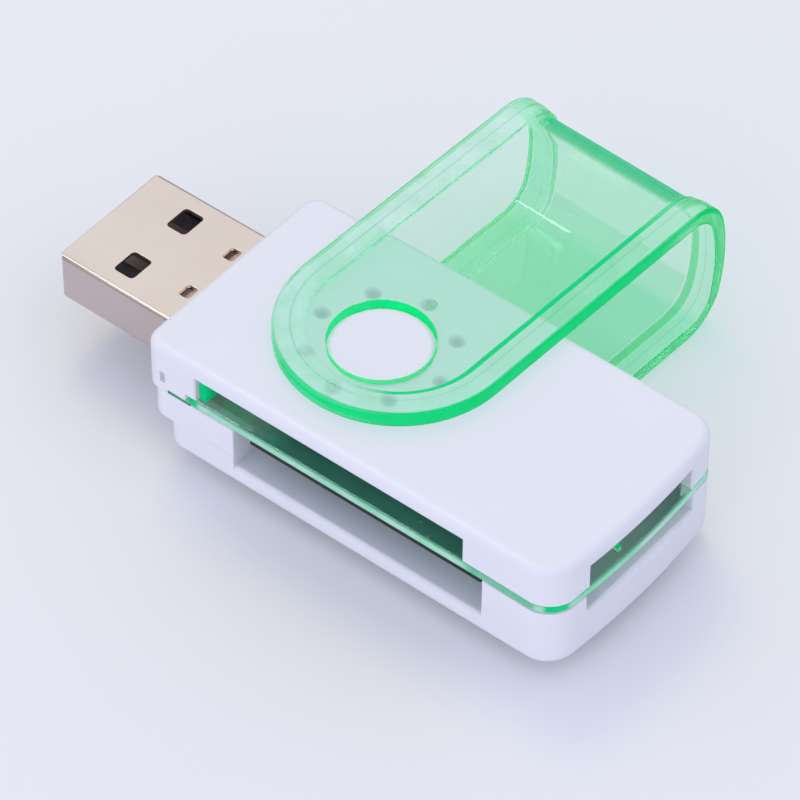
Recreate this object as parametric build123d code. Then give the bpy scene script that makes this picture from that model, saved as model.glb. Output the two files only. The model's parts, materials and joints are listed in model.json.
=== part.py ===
from build123d import *
import os
from dataclasses import dataclass
from math import asin, cos, hypot, radians, sin, sqrt

# USB memory card reader with a clear swivel cover. All sizes are in millimetres.
# While it is built, X = Y = 0 is the swivel pivot, the plug points to -X and the cover to +Y.
# Z = 0 is the surface that the lower arm of the cover stands on.

# Body
BODY_WIDTH = 20.8
BODY_LENGTH = 40.7
PIVOT_TO_PLUG_END = 15.3
END_CROWN = 0.7
FAR_CORNER = 2.7
PLUG_CORNER = 1.6
EDGE_BREAK = 0.5
EDGE_SOFTEN = 0.18
LIP_ROUND = 0.5
END_LIP_BREAK = 0.6
TOP_HEIGHT = 3.8
PLATE_THICKNESS = 0.9
BOTTOM_HEIGHT = 5.8
WALL = 1.2
ROOF = 1.2
FLOOR = 1.8
NOSE_STEP = 2.0
NOSE_SETBACK = 0.5
NOSE_LIP = 0.6
FIT = 0.05
OVERCUT = 1.0
PRY_NOTCH_LEFT = -13.6
PRY_NOTCH_WIDTH = 0.55
PRY_NOTCH_HEIGHT = 1.1
PRY_NOTCH_DEPTH = 0.45

# Card slots
WIDE_SLOT_LEFT = -10.0
WIDE_SLOT_WIDTH = 26.1
WIDE_SLOT_HEIGHT = 2.4
LARGE_SLOT_LEFT = -6.3
LARGE_SLOT_WIDTH = 24.3
MICRO_SLOT_WIDTH = 12.6
MICRO_SLOT_HEIGHT = 2.3
SMALL_SLOT_WIDTH = 13.2
SMALL_SLOT_DEPTH = 1.6
SLOT_GUIDE = 0.5

# Middle plate
PLATE_LEFT = -11.0
PLATE_EDGE = 0.25
PLATE_END_ROUND = 0.4
PLATE_NOTCH_RIGHT = -7.0
PLATE_ARM = 2.4
END_STOP_WIDTH = 0.8
END_STOP_LENGTH = 1.4
END_STOP_SETBACK = 0.4
TONGUE_LENGTH = 1.8
TONGUE_HEIGHT = 0.3
TONGUE_WIDTH = 0.8
GUIDE_RIB_WIDTH = 0.4
GUIDE_RIB_HEIGHT = 0.5
GUIDE_RIB_LENGTH = 8.0
GUIDE_RIB_OFFSET = -2.2

# Pegs that locate the two shells
PEG_WIDTH = 1.3
PEG_HEIGHT = 2.4
POST_WIDTH = 2.2
SOCKET_WIDTH = 2.6
PEG_SIDE = 2.4
PEG_FROM_FAR_END = 2.9

# Swivel pivot and detents
BOSS_DIAMETER = 8.3
BOSS_HEIGHT = 0.65
BOSS_EDGE = 0.4
BOSS_EDGE_STEP = 0.1
PIVOT_CLEARANCE = 0.08
DETENT_COUNT = 8
DETENT_CIRCLE = 11.7
DIMPLE_DIAMETER = 1.5
DIMPLE_DEPTH = 0.25
NUB_DIAMETER = 0.9
NUB_HEIGHT = 0.15

# Swivel cover
COVER_WIDTH = 19.6
COVER_TURN = -2.5
ROUND_END_OFFSET = 2.0
RIM_THICKNESS = 1.45
PANEL_RECESS = 0.45
BAND_WIDTH = 1.45
BAND_BEVEL = 1.25
ARM_GAP = 0.25
BIGHT_CORNER = 4.2
BIGHT_RADIUS = 16.0
SWEEP_CLEARANCE = 0.2
COVER_EDGE = 0.25

# USB plug
PLUG_WIDTH = 12.0
PLUG_HEIGHT = 4.5
PLUG_REACH = 12.6
PLUG_TAIL = 2.9
PLUG_SHEET = 0.3
PLUG_EDGE = 0.35
TIP_CHAMFER = 0.4
SEAM = 0.12
WINDOW_FROM_TIP = 4.35
WINDOW_LENGTH = 1.95
WINDOW_WIDTH = 2.5
WINDOW_SPACING = 6.3
KEY_SLOT_FROM_TIP = 10.1
KEY_SLOT_LENGTH = 1.0
KEY_SLOT_WIDTH = 1.3
KEY_SLOT_SPACING = 5.3
TAB_LENGTH = 2.5
TAB_DROP = 1.4
TAB_RISE = 0.5
INSULATOR_SETBACK = 0.6
INSULATOR_HEEL = 3.0
PIN_WIDTH = 1.0
PIN_SPACINGS = (7.0, 2.5)
PIN_SETBACKS = (1.4, 2.4)
PIN_TAIL = 1.4

# Circuit board and its small parts
BOARD_THICKNESS = 0.8
BOARD_CLEARANCE = 0.5
BOARD_GAP = 0.2
BOARD_RIGHT = 19.4
EAR_LEFT = -4.9
EAR_RIGHT = 17.6
EAR_SETBACK = 0.45
CHIP_LENGTH = 8.6
CHIP_WIDTH = 3.6
CHIP_HEIGHT = 1.4
CHIP_STANDOFF = 0.1
CHIP_LEADS = 8
CHIP_PITCH = 1.0
LEAD_WIDTH = 0.4
LEAD_REACH = 0.75
LEAD_FOOT = 0.35
LEAD_RISE = 0.6
CRYSTAL_SIZE = (2.0, 1.6, 0.7)
CRYSTAL_LID = 0.3
CAPACITOR_SIZE = (1.6, 0.8, 0.8)
RESISTOR_SIZE = (1.6, 0.8, 0.45)
LED_SIZE = (1.6, 0.8, 0.6)
CAP_BAND = 0.3
CAP_PROUD = 0.04
SMALL_PART_OFFSET = 1.1

# Card contacts
WIDE_CONTACT_COUNT = 10
WIDE_CONTACT_PITCH = 1.4
WIDE_CONTACT_WIDTH = 0.7
MICRO_CONTACT_COUNT = 8
MICRO_CONTACT_PITCH = 1.1
MICRO_CONTACT_WIDTH = 0.6
LARGE_CONTACT_COUNT = 9
LARGE_CONTACT_PITCH = 2.5
LARGE_CONTACT_WIDTH = 1.2
STICK_CONTACT_COUNT = 11
STICK_CONTACT_PITCH = 0.55
STICK_CONTACT_WIDTH = 0.3
STRIP = 0.15
FOOT = 1.2
RAMP = 2.4
TIP = 0.8
TIP_DROP = 0.3
CREST_ABOVE_PLATE = 0.8
CREST_BELOW_BOARD = 1.1
HOLDER_LENGTH = 1.1
HOLDER_HEIGHT = 0.8
HOLDER_END = 0.6
ROW_CLEARANCE = 0.4
SIDE_ROW_SETBACK = 0.35
END_ROW_DEPTH = 16.2
STICK_STOP = 3.0

# Levels and places worked out from the sizes above
BODY_BOTTOM = RIM_THICKNESS + ARM_GAP
FLOOR_TOP = BODY_BOTTOM + FLOOR
PARTING = BODY_BOTTOM + BOTTOM_HEIGHT
PLATE_TOP = PARTING + PLATE_THICKNESS
BODY_TOP = PLATE_TOP + TOP_HEIGHT
ROOF_UNDER = BODY_TOP - ROOF
BOARD_UNDER = PARTING - BOARD_THICKNESS
COVER_HEIGHT = BODY_TOP + ARM_GAP + RIM_THICKNESS
COVER_MIDDLE = COVER_HEIGHT / 2
BODY_LEFT = -PIVOT_TO_PLUG_END
BODY_RIGHT = BODY_LEFT + BODY_LENGTH
HALF_WIDTH = BODY_WIDTH / 2
END_CUT_LEFT = BODY_RIGHT - END_CROWN - WALL - OVERCUT
PLUG_WALL = NOSE_SETBACK + WALL
STEP_WALL = NOSE_STEP + WALL
PLUG_TIP = BODY_LEFT - PLUG_REACH
PLUG_REAR = BODY_LEFT + PLUG_TAIL
PLUG_BOTTOM = PARTING - PLUG_HEIGHT / 2
NOSE_BOTTOM = PLUG_BOTTOM - NOSE_LIP
BOARD_FRONT = PLUG_REAR + BOARD_GAP
BOARD_SIDE = HALF_WIDTH - WALL - BOARD_CLEARANCE
END_ROW_X = BODY_RIGHT - END_ROW_DEPTH
LARGE_SLOT_RIGHT = LARGE_SLOT_LEFT + LARGE_SLOT_WIDTH
WIDE_SLOT_RIGHT = WIDE_SLOT_LEFT + WIDE_SLOT_WIDTH
BOSS_RADIUS = BOSS_DIAMETER / 2
COVER_HALF = COVER_WIDTH / 2

# The bight's inner face clears the corners of the plug's tip as the cover turns past it.
PLUG_SWEEP = hypot(PLUG_TIP, PLUG_WIDTH / 2 - TIP_CHAMFER)
PLUG_EDGE_LEVEL = PLUG_HEIGHT / 2 + abs(PARTING - COVER_MIDDLE)
BIGHT_INNER = BIGHT_RADIUS - RIM_THICKNESS
BIGHT_SAG = BIGHT_INNER - sqrt(BIGHT_INNER**2 - PLUG_EDGE_LEVEL**2)
COVER_REACH = PLUG_SWEEP + SWEEP_CLEARANCE + BIGHT_SAG + RIM_THICKNESS

PEG_PLACES = [(BODY_RIGHT - PEG_FROM_FAR_END, side * (HALF_WIDTH - PEG_SIDE)) for side in (-1, 1)]


def block(x0, x1, y0, y1, z0, z1):
    """Box between two opposite corners."""
    middle = Pos((x0 + x1) / 2, (y0 + y1) / 2, (z0 + z1) / 2)
    return middle * Box(x1 - x0, y1 - y0, z1 - z0)


def disc(x, y, z0, z1, radius):
    """Upright cylinder between two levels."""
    return Pos(x, y, (z0 + z1) / 2) * Cylinder(radius, z1 - z0)


def bar(x, y, z0, z1, width):
    """Upright square bar between two levels."""
    return Pos(x, y, (z0 + z1) / 2) * Box(width, width, z1 - z0)


def body_plan(inset=0.0, plug_inset=0.0):
    """Plan of the body: straight sides and a far end that is slightly crowned."""
    half = HALF_WIDTH - inset
    left = BODY_LEFT + plug_inset
    right = BODY_RIGHT - inset
    shoulder = right - END_CROWN
    sides = Polyline((shoulder, half), (left, half), (left, -half), (shoulder, -half))
    crown = ThreePointArc((shoulder, -half), (right, 0), (shoulder, half))
    plan = make_face(sides + crown)
    ends = plan.vertices().group_by(Axis.X)
    plan = fillet(ends[-1], max(FAR_CORNER - inset, LIP_ROUND))
    return fillet(plan.vertices().group_by(Axis.X)[0], PLUG_CORNER)


def body_block(bottom, top, inset=0.0, plug_inset=0.0):
    """Upright block with the body's plan."""
    return extrude(Pos(0, 0, bottom) * body_plan(inset, plug_inset), amount=top - bottom)


def plate_slab(clearance):
    """The plate's own slab, also used with a clearance as the room for it in the top shell."""
    slab = body_block(PARTING, PLATE_TOP)
    slab -= block(BODY_LEFT, PLATE_LEFT - clearance, -BODY_WIDTH, BODY_WIDTH, PARTING, PLATE_TOP)
    left_edges = slab.edges().filter_by(Axis.Y).group_by(Axis.X)[0]
    return fillet(left_edges, PLATE_END_ROUND)


def plate_tongue(clearance):
    """Thin tongue that runs on from the plate along the parting line of the shells."""
    return block(
        PLATE_LEFT - TONGUE_LENGTH - clearance,
        PLATE_LEFT + PLATE_THICKNESS,
        -HALF_WIDTH,
        -HALF_WIDTH + TONGUE_WIDTH + clearance,
        PARTING,
        PARTING + TONGUE_HEIGHT + clearance,
    )


def pivot_boss():
    """Round boss that the cover turns on, standing on Z = 0 with its top edge broken twice."""
    outline = Polyline(
        (0, -ROOF / 2), (BOSS_RADIUS, -ROOF / 2), (BOSS_RADIUS, BOSS_HEIGHT - BOSS_EDGE),
        (BOSS_RADIUS - BOSS_EDGE_STEP, BOSS_HEIGHT - BOSS_EDGE_STEP),
        (BOSS_RADIUS - BOSS_EDGE, BOSS_HEIGHT), (0, BOSS_HEIGHT),
        close=True,
    )
    return revolve(Plane.XZ * make_face(outline), axis=Axis.Z)


def soften(shell, side):
    """Break the rim of a block's top (side -1) or underside (side 0), then the two edges that leaves."""
    shell = chamfer(shell.faces().sort_by(Axis.Z)[side].edges(), EDGE_BREAK)
    flat = shell.faces().sort_by(Axis.Z)[side]
    level = flat.center().Z + (EDGE_BREAK if side == 0 else -EDGE_BREAK)
    wall_rim = shell.edges().filter_by_position(Axis.Z, level - FIT, level + FIT)
    return chamfer(flat.edges() + wall_rim, EDGE_SOFTEN)


def plug_opening():
    """Room for the plug's shell in the end wall of the two shells."""
    half = PLUG_WIDTH / 2 + FIT
    rise = PLUG_HEIGHT / 2 + FIT
    inner_end = BODY_LEFT + PLUG_WALL + OVERCUT
    return block(BODY_LEFT - OVERCUT, inner_end, -half, half, PARTING - rise, PARTING + rise)


def make_top_shell():
    """White upper half: roof with the pivot boss, two card slots and peg sockets."""
    shell = body_block(PARTING, BODY_TOP)
    shell = soften(shell, -1)
    shell -= body_block(PARTING, ROOF_UNDER, WALL, PLUG_WALL)
    for x, y in PEG_PLACES:
        shell += bar(x, y, PARTING, ROOF_UNDER, SOCKET_WIDTH)
        shell -= bar(x, y, PARTING, PARTING + PEG_HEIGHT + FIT, PEG_WIDTH + 2 * FIT)
    shell -= plate_slab(FIT)
    shell -= plate_tongue(FIT)
    shell -= block(
        WIDE_SLOT_LEFT, WIDE_SLOT_RIGHT, -HALF_WIDTH - OVERCUT, -HALF_WIDTH + WALL + OVERCUT,
        PLATE_TOP, PLATE_TOP + WIDE_SLOT_HEIGHT,
    )
    shell -= block(
        END_CUT_LEFT, BODY_RIGHT + OVERCUT, -MICRO_SLOT_WIDTH / 2, MICRO_SLOT_WIDTH / 2,
        PLATE_TOP, PLATE_TOP + MICRO_SLOT_HEIGHT,
    )
    shell -= plug_opening()
    shell -= block(
        PRY_NOTCH_LEFT, PRY_NOTCH_LEFT + PRY_NOTCH_WIDTH,
        -HALF_WIDTH - OVERCUT, -HALF_WIDTH + PRY_NOTCH_DEPTH,
        PLATE_TOP, PLATE_TOP + PRY_NOTCH_HEIGHT,
    )
    shell += Pos(0, 0, BODY_TOP) * pivot_boss()
    for place in PolarLocations(DETENT_CIRCLE / 2, DETENT_COUNT):
        shell -= place * disc(0, 0, BODY_TOP - DIMPLE_DEPTH, BODY_TOP + OVERCUT, DIMPLE_DIAMETER / 2)
    return shell


def lip_edges(shell, axis, side, level):
    """Outer edge of a slot's lip: at a level, on the outermost side along an axis."""
    at_level = shell.edges().filter_by_position(Axis.Z, level - FIT, level + FIT)
    return at_level.group_by(axis)[side]


def make_bottom_shell():
    """White lower half: floor with the lower boss, two card slots, pegs and board posts."""
    shell = body_block(BODY_BOTTOM, NOSE_BOTTOM, plug_inset=NOSE_STEP)
    shell = soften(shell, 0)
    shell += body_block(NOSE_BOTTOM, PARTING, plug_inset=NOSE_SETBACK)
    shell -= body_block(FLOOR_TOP, PARTING, WALL, STEP_WALL)
    shell -= body_block(PLUG_BOTTOM - FIT, PARTING, WALL, PLUG_WALL)
    shell -= block(
        LARGE_SLOT_LEFT, LARGE_SLOT_RIGHT, -HALF_WIDTH - OVERCUT, -HALF_WIDTH + WALL + OVERCUT,
        FLOOR_TOP, PARTING,
    )
    shell -= block(
        END_CUT_LEFT, BODY_RIGHT + OVERCUT, -SMALL_SLOT_WIDTH / 2, SMALL_SLOT_WIDTH / 2,
        PARTING - SMALL_SLOT_DEPTH, PARTING,
    )
    shell = fillet(lip_edges(shell, Axis.Y, 0, FLOOR_TOP), LIP_ROUND)
    shell = chamfer(lip_edges(shell, Axis.X, -1, PARTING - SMALL_SLOT_DEPTH), END_LIP_BREAK)
    shell -= plug_opening()
    shell += block(
        LARGE_SLOT_LEFT - SLOT_GUIDE, LARGE_SLOT_LEFT, -HALF_WIDTH + WALL / 2, HALF_WIDTH - WALL / 2,
        FLOOR_TOP - FLOOR / 2, BOARD_UNDER,
    )
    for side in (-1, 1):
        edge = side * (HALF_WIDTH - WALL / 2)
        inner = side * (SMALL_SLOT_WIDTH / 2 + SLOT_GUIDE)
        shell += block(
            LARGE_SLOT_RIGHT, LARGE_SLOT_RIGHT + 2 * SLOT_GUIDE, min(edge, inner), max(edge, inner),
            FLOOR_TOP - FLOOR / 2, BOARD_UNDER,
        )
    for x, y in PEG_PLACES:
        shell += bar(x, y, FLOOR_TOP - FLOOR / 2, PARTING, POST_WIDTH)
        shell += bar(x, y, PARTING - FLOOR / 2, PARTING + PEG_HEIGHT, PEG_WIDTH)
    return shell + Pos(0, 0, BODY_BOTTOM) * Rot(180, 0, 0) * pivot_boss()


def make_middle_plate(rows):
    """Clear plate between the shells, notched round the plug's tail and open over the contacts."""
    plate = plate_slab(0)
    rim = plate.faces().sort_by(Axis.Z)[-1].edges() + plate.faces().sort_by(Axis.Z)[0].edges()
    plate = chamfer([edge for edge in rim if edge.center().X > PLATE_LEFT + PLATE_THICKNESS], PLATE_EDGE)
    half_notch = HALF_WIDTH - PLATE_ARM
    plate -= block(PLATE_LEFT - OVERCUT, PLATE_NOTCH_RIGHT, -half_notch, half_notch, PARTING, PLATE_TOP)
    for row in rows:
        plate -= row.opening()
    for x, y in PEG_PLACES:
        plate -= bar(x, y, PARTING, PLATE_TOP, PEG_WIDTH + 2 * FIT)
    near = -HALF_WIDTH + END_STOP_SETBACK
    plate += block(
        WIDE_SLOT_LEFT, WIDE_SLOT_LEFT + END_STOP_WIDTH, near, near + END_STOP_LENGTH,
        PLATE_TOP - PLATE_THICKNESS / 2, PLATE_TOP + WIDE_SLOT_HEIGHT - FIT,
    )
    rib_end = BODY_RIGHT - END_CROWN
    plate += block(
        rib_end - GUIDE_RIB_LENGTH, rib_end,
        GUIDE_RIB_OFFSET - GUIDE_RIB_WIDTH / 2, GUIDE_RIB_OFFSET + GUIDE_RIB_WIDTH / 2,
        PLATE_TOP - PLATE_THICKNESS / 2, PLATE_TOP + GUIDE_RIB_HEIGHT,
    )
    return plate + plate_tongue(0)


def bight_points(inset):
    """Corner points of the cover's side profile, moved inwards by an even inset."""
    half = COVER_HEIGHT / 2 - inset
    corner = BIGHT_CORNER - inset
    radius = BIGHT_RADIUS - inset
    turn = asin((COVER_HEIGHT / 2 - BIGHT_CORNER) / (BIGHT_RADIUS - BIGHT_CORNER))
    centre = COVER_REACH - BIGHT_RADIUS
    corner_y = centre + (BIGHT_RADIUS - BIGHT_CORNER) * cos(turn)
    corner_z = COVER_HEIGHT / 2 - BIGHT_CORNER
    halfway = (turn + radians(90)) / 2
    start = (corner_y, half)
    middle = (corner_y + corner * cos(halfway), corner_z + corner * sin(halfway))
    end = (centre + radius * cos(turn), radius * sin(turn))
    return start, middle, end, (centre + radius, 0)


def bight_line(inset, left):
    """Side profile of the cover: arm, rounded corner, shallow bulge, rounded corner, arm."""
    start, middle, end, tip = bight_points(inset)

    def below(point):
        return (point[0], -point[1])

    upper = Line((left, start[1]), start) + ThreePointArc(start, middle, end)
    bulge = ThreePointArc(end, tip, below(end))
    lower = ThreePointArc(below(end), below(middle), below(start)) + Line(below(start), (left, -start[1]))
    return upper + bulge + lower


def cover_profile(inset, left):
    """Face filled inside the cover's side profile."""
    line = bight_line(inset, left)
    half = COVER_HEIGHT / 2 - inset
    return make_face(line + Line((left, -half), (left, half)))


def cover_recess():
    """Bevelled panel sunk into the cover's outer face, from one round end past the bight to the other."""
    wide = COVER_HALF - BAND_WIDTH
    narrow = wide - BAND_BEVEL
    section = make_face(
        Polyline(
            (-wide, OVERCUT), (-wide, 0), (-narrow, -PANEL_RECESS),
            (narrow, -PANEL_RECESS), (wide, 0), (wide, OVERCUT),
            close=True,
        )
    )
    path = Plane.YZ * (Pos(0, COVER_MIDDLE) * bight_line(0, ROUND_END_OFFSET))
    place = Plane((0, ROUND_END_OFFSET, COVER_HEIGHT), x_dir=(1, 0, 0), z_dir=(0, -1, 0))
    tool = sweep(place * section, path=path)
    cone = Pos(0, 0, -PANEL_RECESS / 2) * Cone(narrow, wide, PANEL_RECESS)
    cone += Pos(0, 0, OVERCUT / 2) * Cylinder(wide, OVERCUT)
    tool += Pos(0, ROUND_END_OFFSET, COVER_HEIGHT) * cone
    return tool + Pos(0, ROUND_END_OFFSET, 0) * Rot(180, 0, 0) * cone


def make_swivel_cover():
    """Clear green U that turns on the two bosses, one moulding."""
    plan = Pos(0, ROUND_END_OFFSET) * Circle(COVER_HALF)
    straight = COVER_REACH - ROUND_END_OFFSET
    plan += Pos(0, ROUND_END_OFFSET + straight / 2) * Rectangle(COVER_WIDTH, straight)
    side = Plane.YZ * (Pos(0, COVER_MIDDLE) * cover_profile(0, -COVER_HALF))
    gap = Plane.YZ * (Pos(0, COVER_MIDDLE) * cover_profile(RIM_THICKNESS, -COVER_WIDTH))
    cover = extrude(side, amount=COVER_HALF, both=True) & extrude(plan, amount=COVER_HEIGHT)
    outer = cover.edges().filter_by(Axis.X, reverse=True).filter_by(Axis.Z, reverse=True)
    cover = chamfer(outer, COVER_EDGE)
    cover -= extrude(gap, amount=COVER_WIDTH, both=True)
    cover -= cover_recess()
    cover -= disc(0, 0, 0, COVER_HEIGHT, BOSS_RADIUS + PIVOT_CLEARANCE)
    arm_under = COVER_HEIGHT - RIM_THICKNESS
    for nub_y in (-DETENT_CIRCLE / 2, DETENT_CIRCLE / 2):
        cover += disc(0, nub_y, arm_under - NUB_HEIGHT, arm_under + PANEL_RECESS, NUB_DIAMETER / 2)
    return Rot(0, 0, COVER_TURN) * cover


def plug_corner(inset):
    """Corner radius of the plug's shell at an inset."""
    return max(PLUG_EDGE - inset, PLUG_SHEET / 2)


def plug_section(inset):
    """Cross-section of the plug's shell, moved inwards by an even inset."""
    return RectangleRounded(PLUG_WIDTH - 2 * inset, PLUG_HEIGHT - 2 * inset, plug_corner(inset))


def plug_bar(inset, left, right):
    """Bar with the plug's cross-section between two X positions."""
    return extrude(Plane.YZ.offset(left) * (Pos(0, PARTING) * plug_section(inset)), amount=right - left)


def make_usb_shell():
    """Folded metal shell of the plug with windows, key slots, a seam below and two board tabs."""
    shell = plug_bar(0, PLUG_TIP, PLUG_REAR) - plug_bar(PLUG_SHEET, PLUG_TIP, PLUG_REAR)
    for side in (-1, 1):
        corner = side * PLUG_WIDTH / 2
        cutter = Box(TIP_CHAMFER * sqrt(2), TIP_CHAMFER * 4, PLUG_HEIGHT * 2)
        shell -= Pos(PLUG_TIP, corner, PARTING) * Rot(0, 0, -45 * side) * cutter
        window_y = side * WINDOW_SPACING / 2
        window_x = PLUG_TIP + WINDOW_FROM_TIP
        shell -= block(
            window_x, window_x + WINDOW_LENGTH, window_y - WINDOW_WIDTH / 2, window_y + WINDOW_WIDTH / 2,
            PARTING - PLUG_HEIGHT, PARTING + PLUG_HEIGHT,
        )
        slot_y = side * KEY_SLOT_SPACING / 2
        slot_x = PLUG_TIP + KEY_SLOT_FROM_TIP
        shell -= block(
            slot_x, slot_x + KEY_SLOT_LENGTH, slot_y - KEY_SLOT_WIDTH / 2, slot_y + KEY_SLOT_WIDTH / 2,
            PARTING, PARTING + PLUG_HEIGHT,
        )
        tab_y = sorted((corner, corner - side * PLUG_SHEET))
        shell += block(
            PLUG_REAR - PLUG_SHEET, PLUG_REAR + TAB_LENGTH, tab_y[0], tab_y[1],
            PARTING - TAB_DROP, PARTING + TAB_RISE,
        )
    return shell - block(PLUG_TIP, PLUG_REAR, -SEAM / 2, SEAM / 2, PLUG_BOTTOM, PLUG_BOTTOM + 2 * PLUG_SHEET)


def usb_pin_places():
    """Y position and setback from the tip of each of the plug's four contacts."""
    outer, inner = (spacing / 2 for spacing in PIN_SPACINGS)
    long_pin, short_pin = PIN_SETBACKS
    return [(-outer, long_pin), (-inner, short_pin), (inner, short_pin), (outer, long_pin)]


def make_usb_tongue():
    """Insulator of the plug: a low tongue with a full-height heel that grips the contacts."""
    half = PLUG_WIDTH / 2 - PLUG_SHEET - plug_corner(PLUG_SHEET)
    rise = PLUG_HEIGHT / 2 - PLUG_SHEET
    tongue = block(PLUG_TIP + INSULATOR_SETBACK, PLUG_REAR, -half, half, PARTING - rise, PARTING + rise)
    tongue -= block(
        PLUG_TIP, PLUG_REAR - INSULATOR_HEEL, -PLUG_WIDTH, PLUG_WIDTH, PARTING, PARTING + PLUG_HEIGHT
    )
    for y, setback in usb_pin_places():
        half = PIN_WIDTH / 2 + FIT
        tongue -= block(PLUG_TIP + setback, PLUG_REAR, y - half, y + half, PARTING, PARTING + STRIP + FIT)
    return tongue


def make_usb_contact(y, setback):
    """Flat contact strip from the tongue to the board."""
    half = PIN_WIDTH / 2
    return block(PLUG_TIP + setback, BOARD_FRONT + PIN_TAIL, y - half, y + half, PARTING, PARTING + STRIP)


def make_circuit_board():
    """Black board under the plate: an ear shows in the large card slot, a notch lets the small stick in."""
    board = block(BOARD_FRONT, BOARD_RIGHT, -BOARD_SIDE, BOARD_SIDE, BOARD_UNDER, PARTING)
    board += block(EAR_LEFT, EAR_RIGHT, -HALF_WIDTH + EAR_SETBACK, 0, BOARD_UNDER, PARTING)
    for side in (-1, 1):
        slot = sorted((side * (PLUG_WIDTH / 2 + FIT), side * (PLUG_WIDTH / 2 - PLUG_SHEET - FIT)))
        board -= block(
            BOARD_FRONT, PLUG_REAR + TAB_LENGTH + FIT, slot[0], slot[1], BOARD_UNDER, PARTING
        )
    half = SMALL_SLOT_WIDTH / 2 + FIT
    return board - block(END_ROW_X + STICK_STOP, BOARD_RIGHT, -half, half, BOARD_UNDER, PARTING)


@dataclass
class ContactRow:
    """Row of spring contacts soldered to one face of the board."""

    name: str
    count: int
    pitch: float
    width: float
    crest: float
    start: Vector
    along: Vector
    out: Vector

    def place(self, index):
        """Plane of one contact: X from its foot to its tip, Y away from the board."""
        across = self.out.cross(self.along)
        middle = self.start + across * ((index - (self.count - 1) / 2) * self.pitch)
        return Plane(middle, x_dir=self.along, z_dir=self.along.cross(self.out))

    def middle_place(self):
        """Plane in the middle of the row."""
        return self.place((self.count - 1) / 2)

    def span(self):
        """Length of the row from the outer side of its first contact to that of its last."""
        return (self.count - 1) * self.pitch + self.width

    def contact(self, index):
        """One spring: foot on the board, ramp, crest and turned-down tip."""
        crest = self.crest - STRIP
        under = [(0, 0), (FOOT, 0), (FOOT + RAMP, crest), (FOOT + RAMP + TIP, crest - TIP_DROP)]
        over = [(s, h + STRIP) for s, h in reversed(under)]
        face = make_face(Polyline(*under, *over, close=True))
        return extrude(self.place(index) * face, amount=self.width / 2, both=True)

    def holder(self):
        """Moulded bar across the feet with a groove for each contact."""
        bar = Box(HOLDER_LENGTH, HOLDER_HEIGHT, self.span() + 2 * HOLDER_END)
        bar = self.middle_place() * (Pos(HOLDER_LENGTH / 2 - STRIP, HOLDER_HEIGHT / 2, 0) * bar)
        groove = Box(2 * HOLDER_LENGTH, 2 * (STRIP + FIT), self.width + 2 * FIT)
        groove = Pos(HOLDER_LENGTH / 2, 0, 0) * groove
        for index in range(self.count):
            bar -= self.place(index) * groove
        return bar

    def opening(self):
        """Window over the row, cut through the plate."""
        length = FOOT + RAMP + TIP + 2 * ROW_CLEARANCE
        width = self.span() + 2 * (HOLDER_END + ROW_CLEARANCE)
        window = Box(length, 4 * PLATE_THICKNESS, width)
        return self.middle_place() * (Pos(length / 2 - ROW_CLEARANCE, 0, 0) * window)


UP = Vector(0, 0, 1)
DOWN = Vector(0, 0, -1)
SIDE_ROW_Y = BOARD_SIDE - SIDE_ROW_SETBACK
CREST_UP = PLATE_THICKNESS + CREST_ABOVE_PLATE
LARGE_SLOT_MIDDLE = (LARGE_SLOT_LEFT + LARGE_SLOT_RIGHT) / 2

UPPER_ROWS = [
    ContactRow(
        "wide_card", WIDE_CONTACT_COUNT, WIDE_CONTACT_PITCH, WIDE_CONTACT_WIDTH, CREST_UP,
        Vector(0, SIDE_ROW_Y, PARTING), Vector(0, -1, 0), UP,
    ),
    ContactRow(
        "micro_card", MICRO_CONTACT_COUNT, MICRO_CONTACT_PITCH, MICRO_CONTACT_WIDTH, CREST_UP,
        Vector(END_ROW_X, 0, PARTING), Vector(1, 0, 0), UP,
    ),
]
LOWER_ROWS = [
    ContactRow(
        "large_card", LARGE_CONTACT_COUNT, LARGE_CONTACT_PITCH, LARGE_CONTACT_WIDTH, CREST_BELOW_BOARD,
        Vector(LARGE_SLOT_MIDDLE, SIDE_ROW_Y, BOARD_UNDER), Vector(0, -1, 0), DOWN,
    ),
    ContactRow(
        "small_stick", STICK_CONTACT_COUNT, STICK_CONTACT_PITCH, STICK_CONTACT_WIDTH, CREST_BELOW_BOARD,
        Vector(END_ROW_X, 0, BOARD_UNDER), Vector(1, 0, 0), DOWN,
    ),
]


def make_controller_chip(x, y):
    """Chip on the underside of the board with a row of bent leads along each long side."""
    top = BOARD_UNDER - CHIP_STANDOFF
    chip = Pos(x, y, top - CHIP_HEIGHT / 2) * Box(CHIP_WIDTH, CHIP_LENGTH, CHIP_HEIGHT)
    chip = chamfer(chip.faces().sort_by(Axis.Z)[0].edges(), CHIP_STANDOFF)
    under = [(0, LEAD_RISE), (LEAD_REACH - LEAD_FOOT, 0), (LEAD_REACH, 0)]
    over = [(s, h + STRIP) for s, h in reversed(under)]
    lead_face = make_face(Polyline(*under, *over, close=True))
    for side in (-1, 1):
        for index in range(CHIP_LEADS):
            along = Vector(side, 0, 0)
            lead_y = y + (index - (CHIP_LEADS - 1) / 2) * CHIP_PITCH
            start = Vector(x + side * CHIP_WIDTH / 2, lead_y, BOARD_UNDER)
            plane = Plane(start, x_dir=along, z_dir=along.cross(DOWN))
            chip += extrude(plane * lead_face, amount=LEAD_WIDTH / 2, both=True)
    return chip


def make_end_capped(size, x, y):
    """Small block part on the underside of the board with a metal cap at each end."""
    length, width, height = size
    part = Pos(x, y, BOARD_UNDER - height / 2) * Box(length, width, height)
    for side in (-1, 1):
        ends = sorted((x + side * (length / 2 - CAP_BAND), x + side * (length / 2 + CAP_PROUD)))
        part += block(
            ends[0], ends[1], y - width / 2 - CAP_PROUD, y + width / 2 + CAP_PROUD,
            BOARD_UNDER - height - CAP_PROUD, BOARD_UNDER,
        )
    return part


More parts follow.
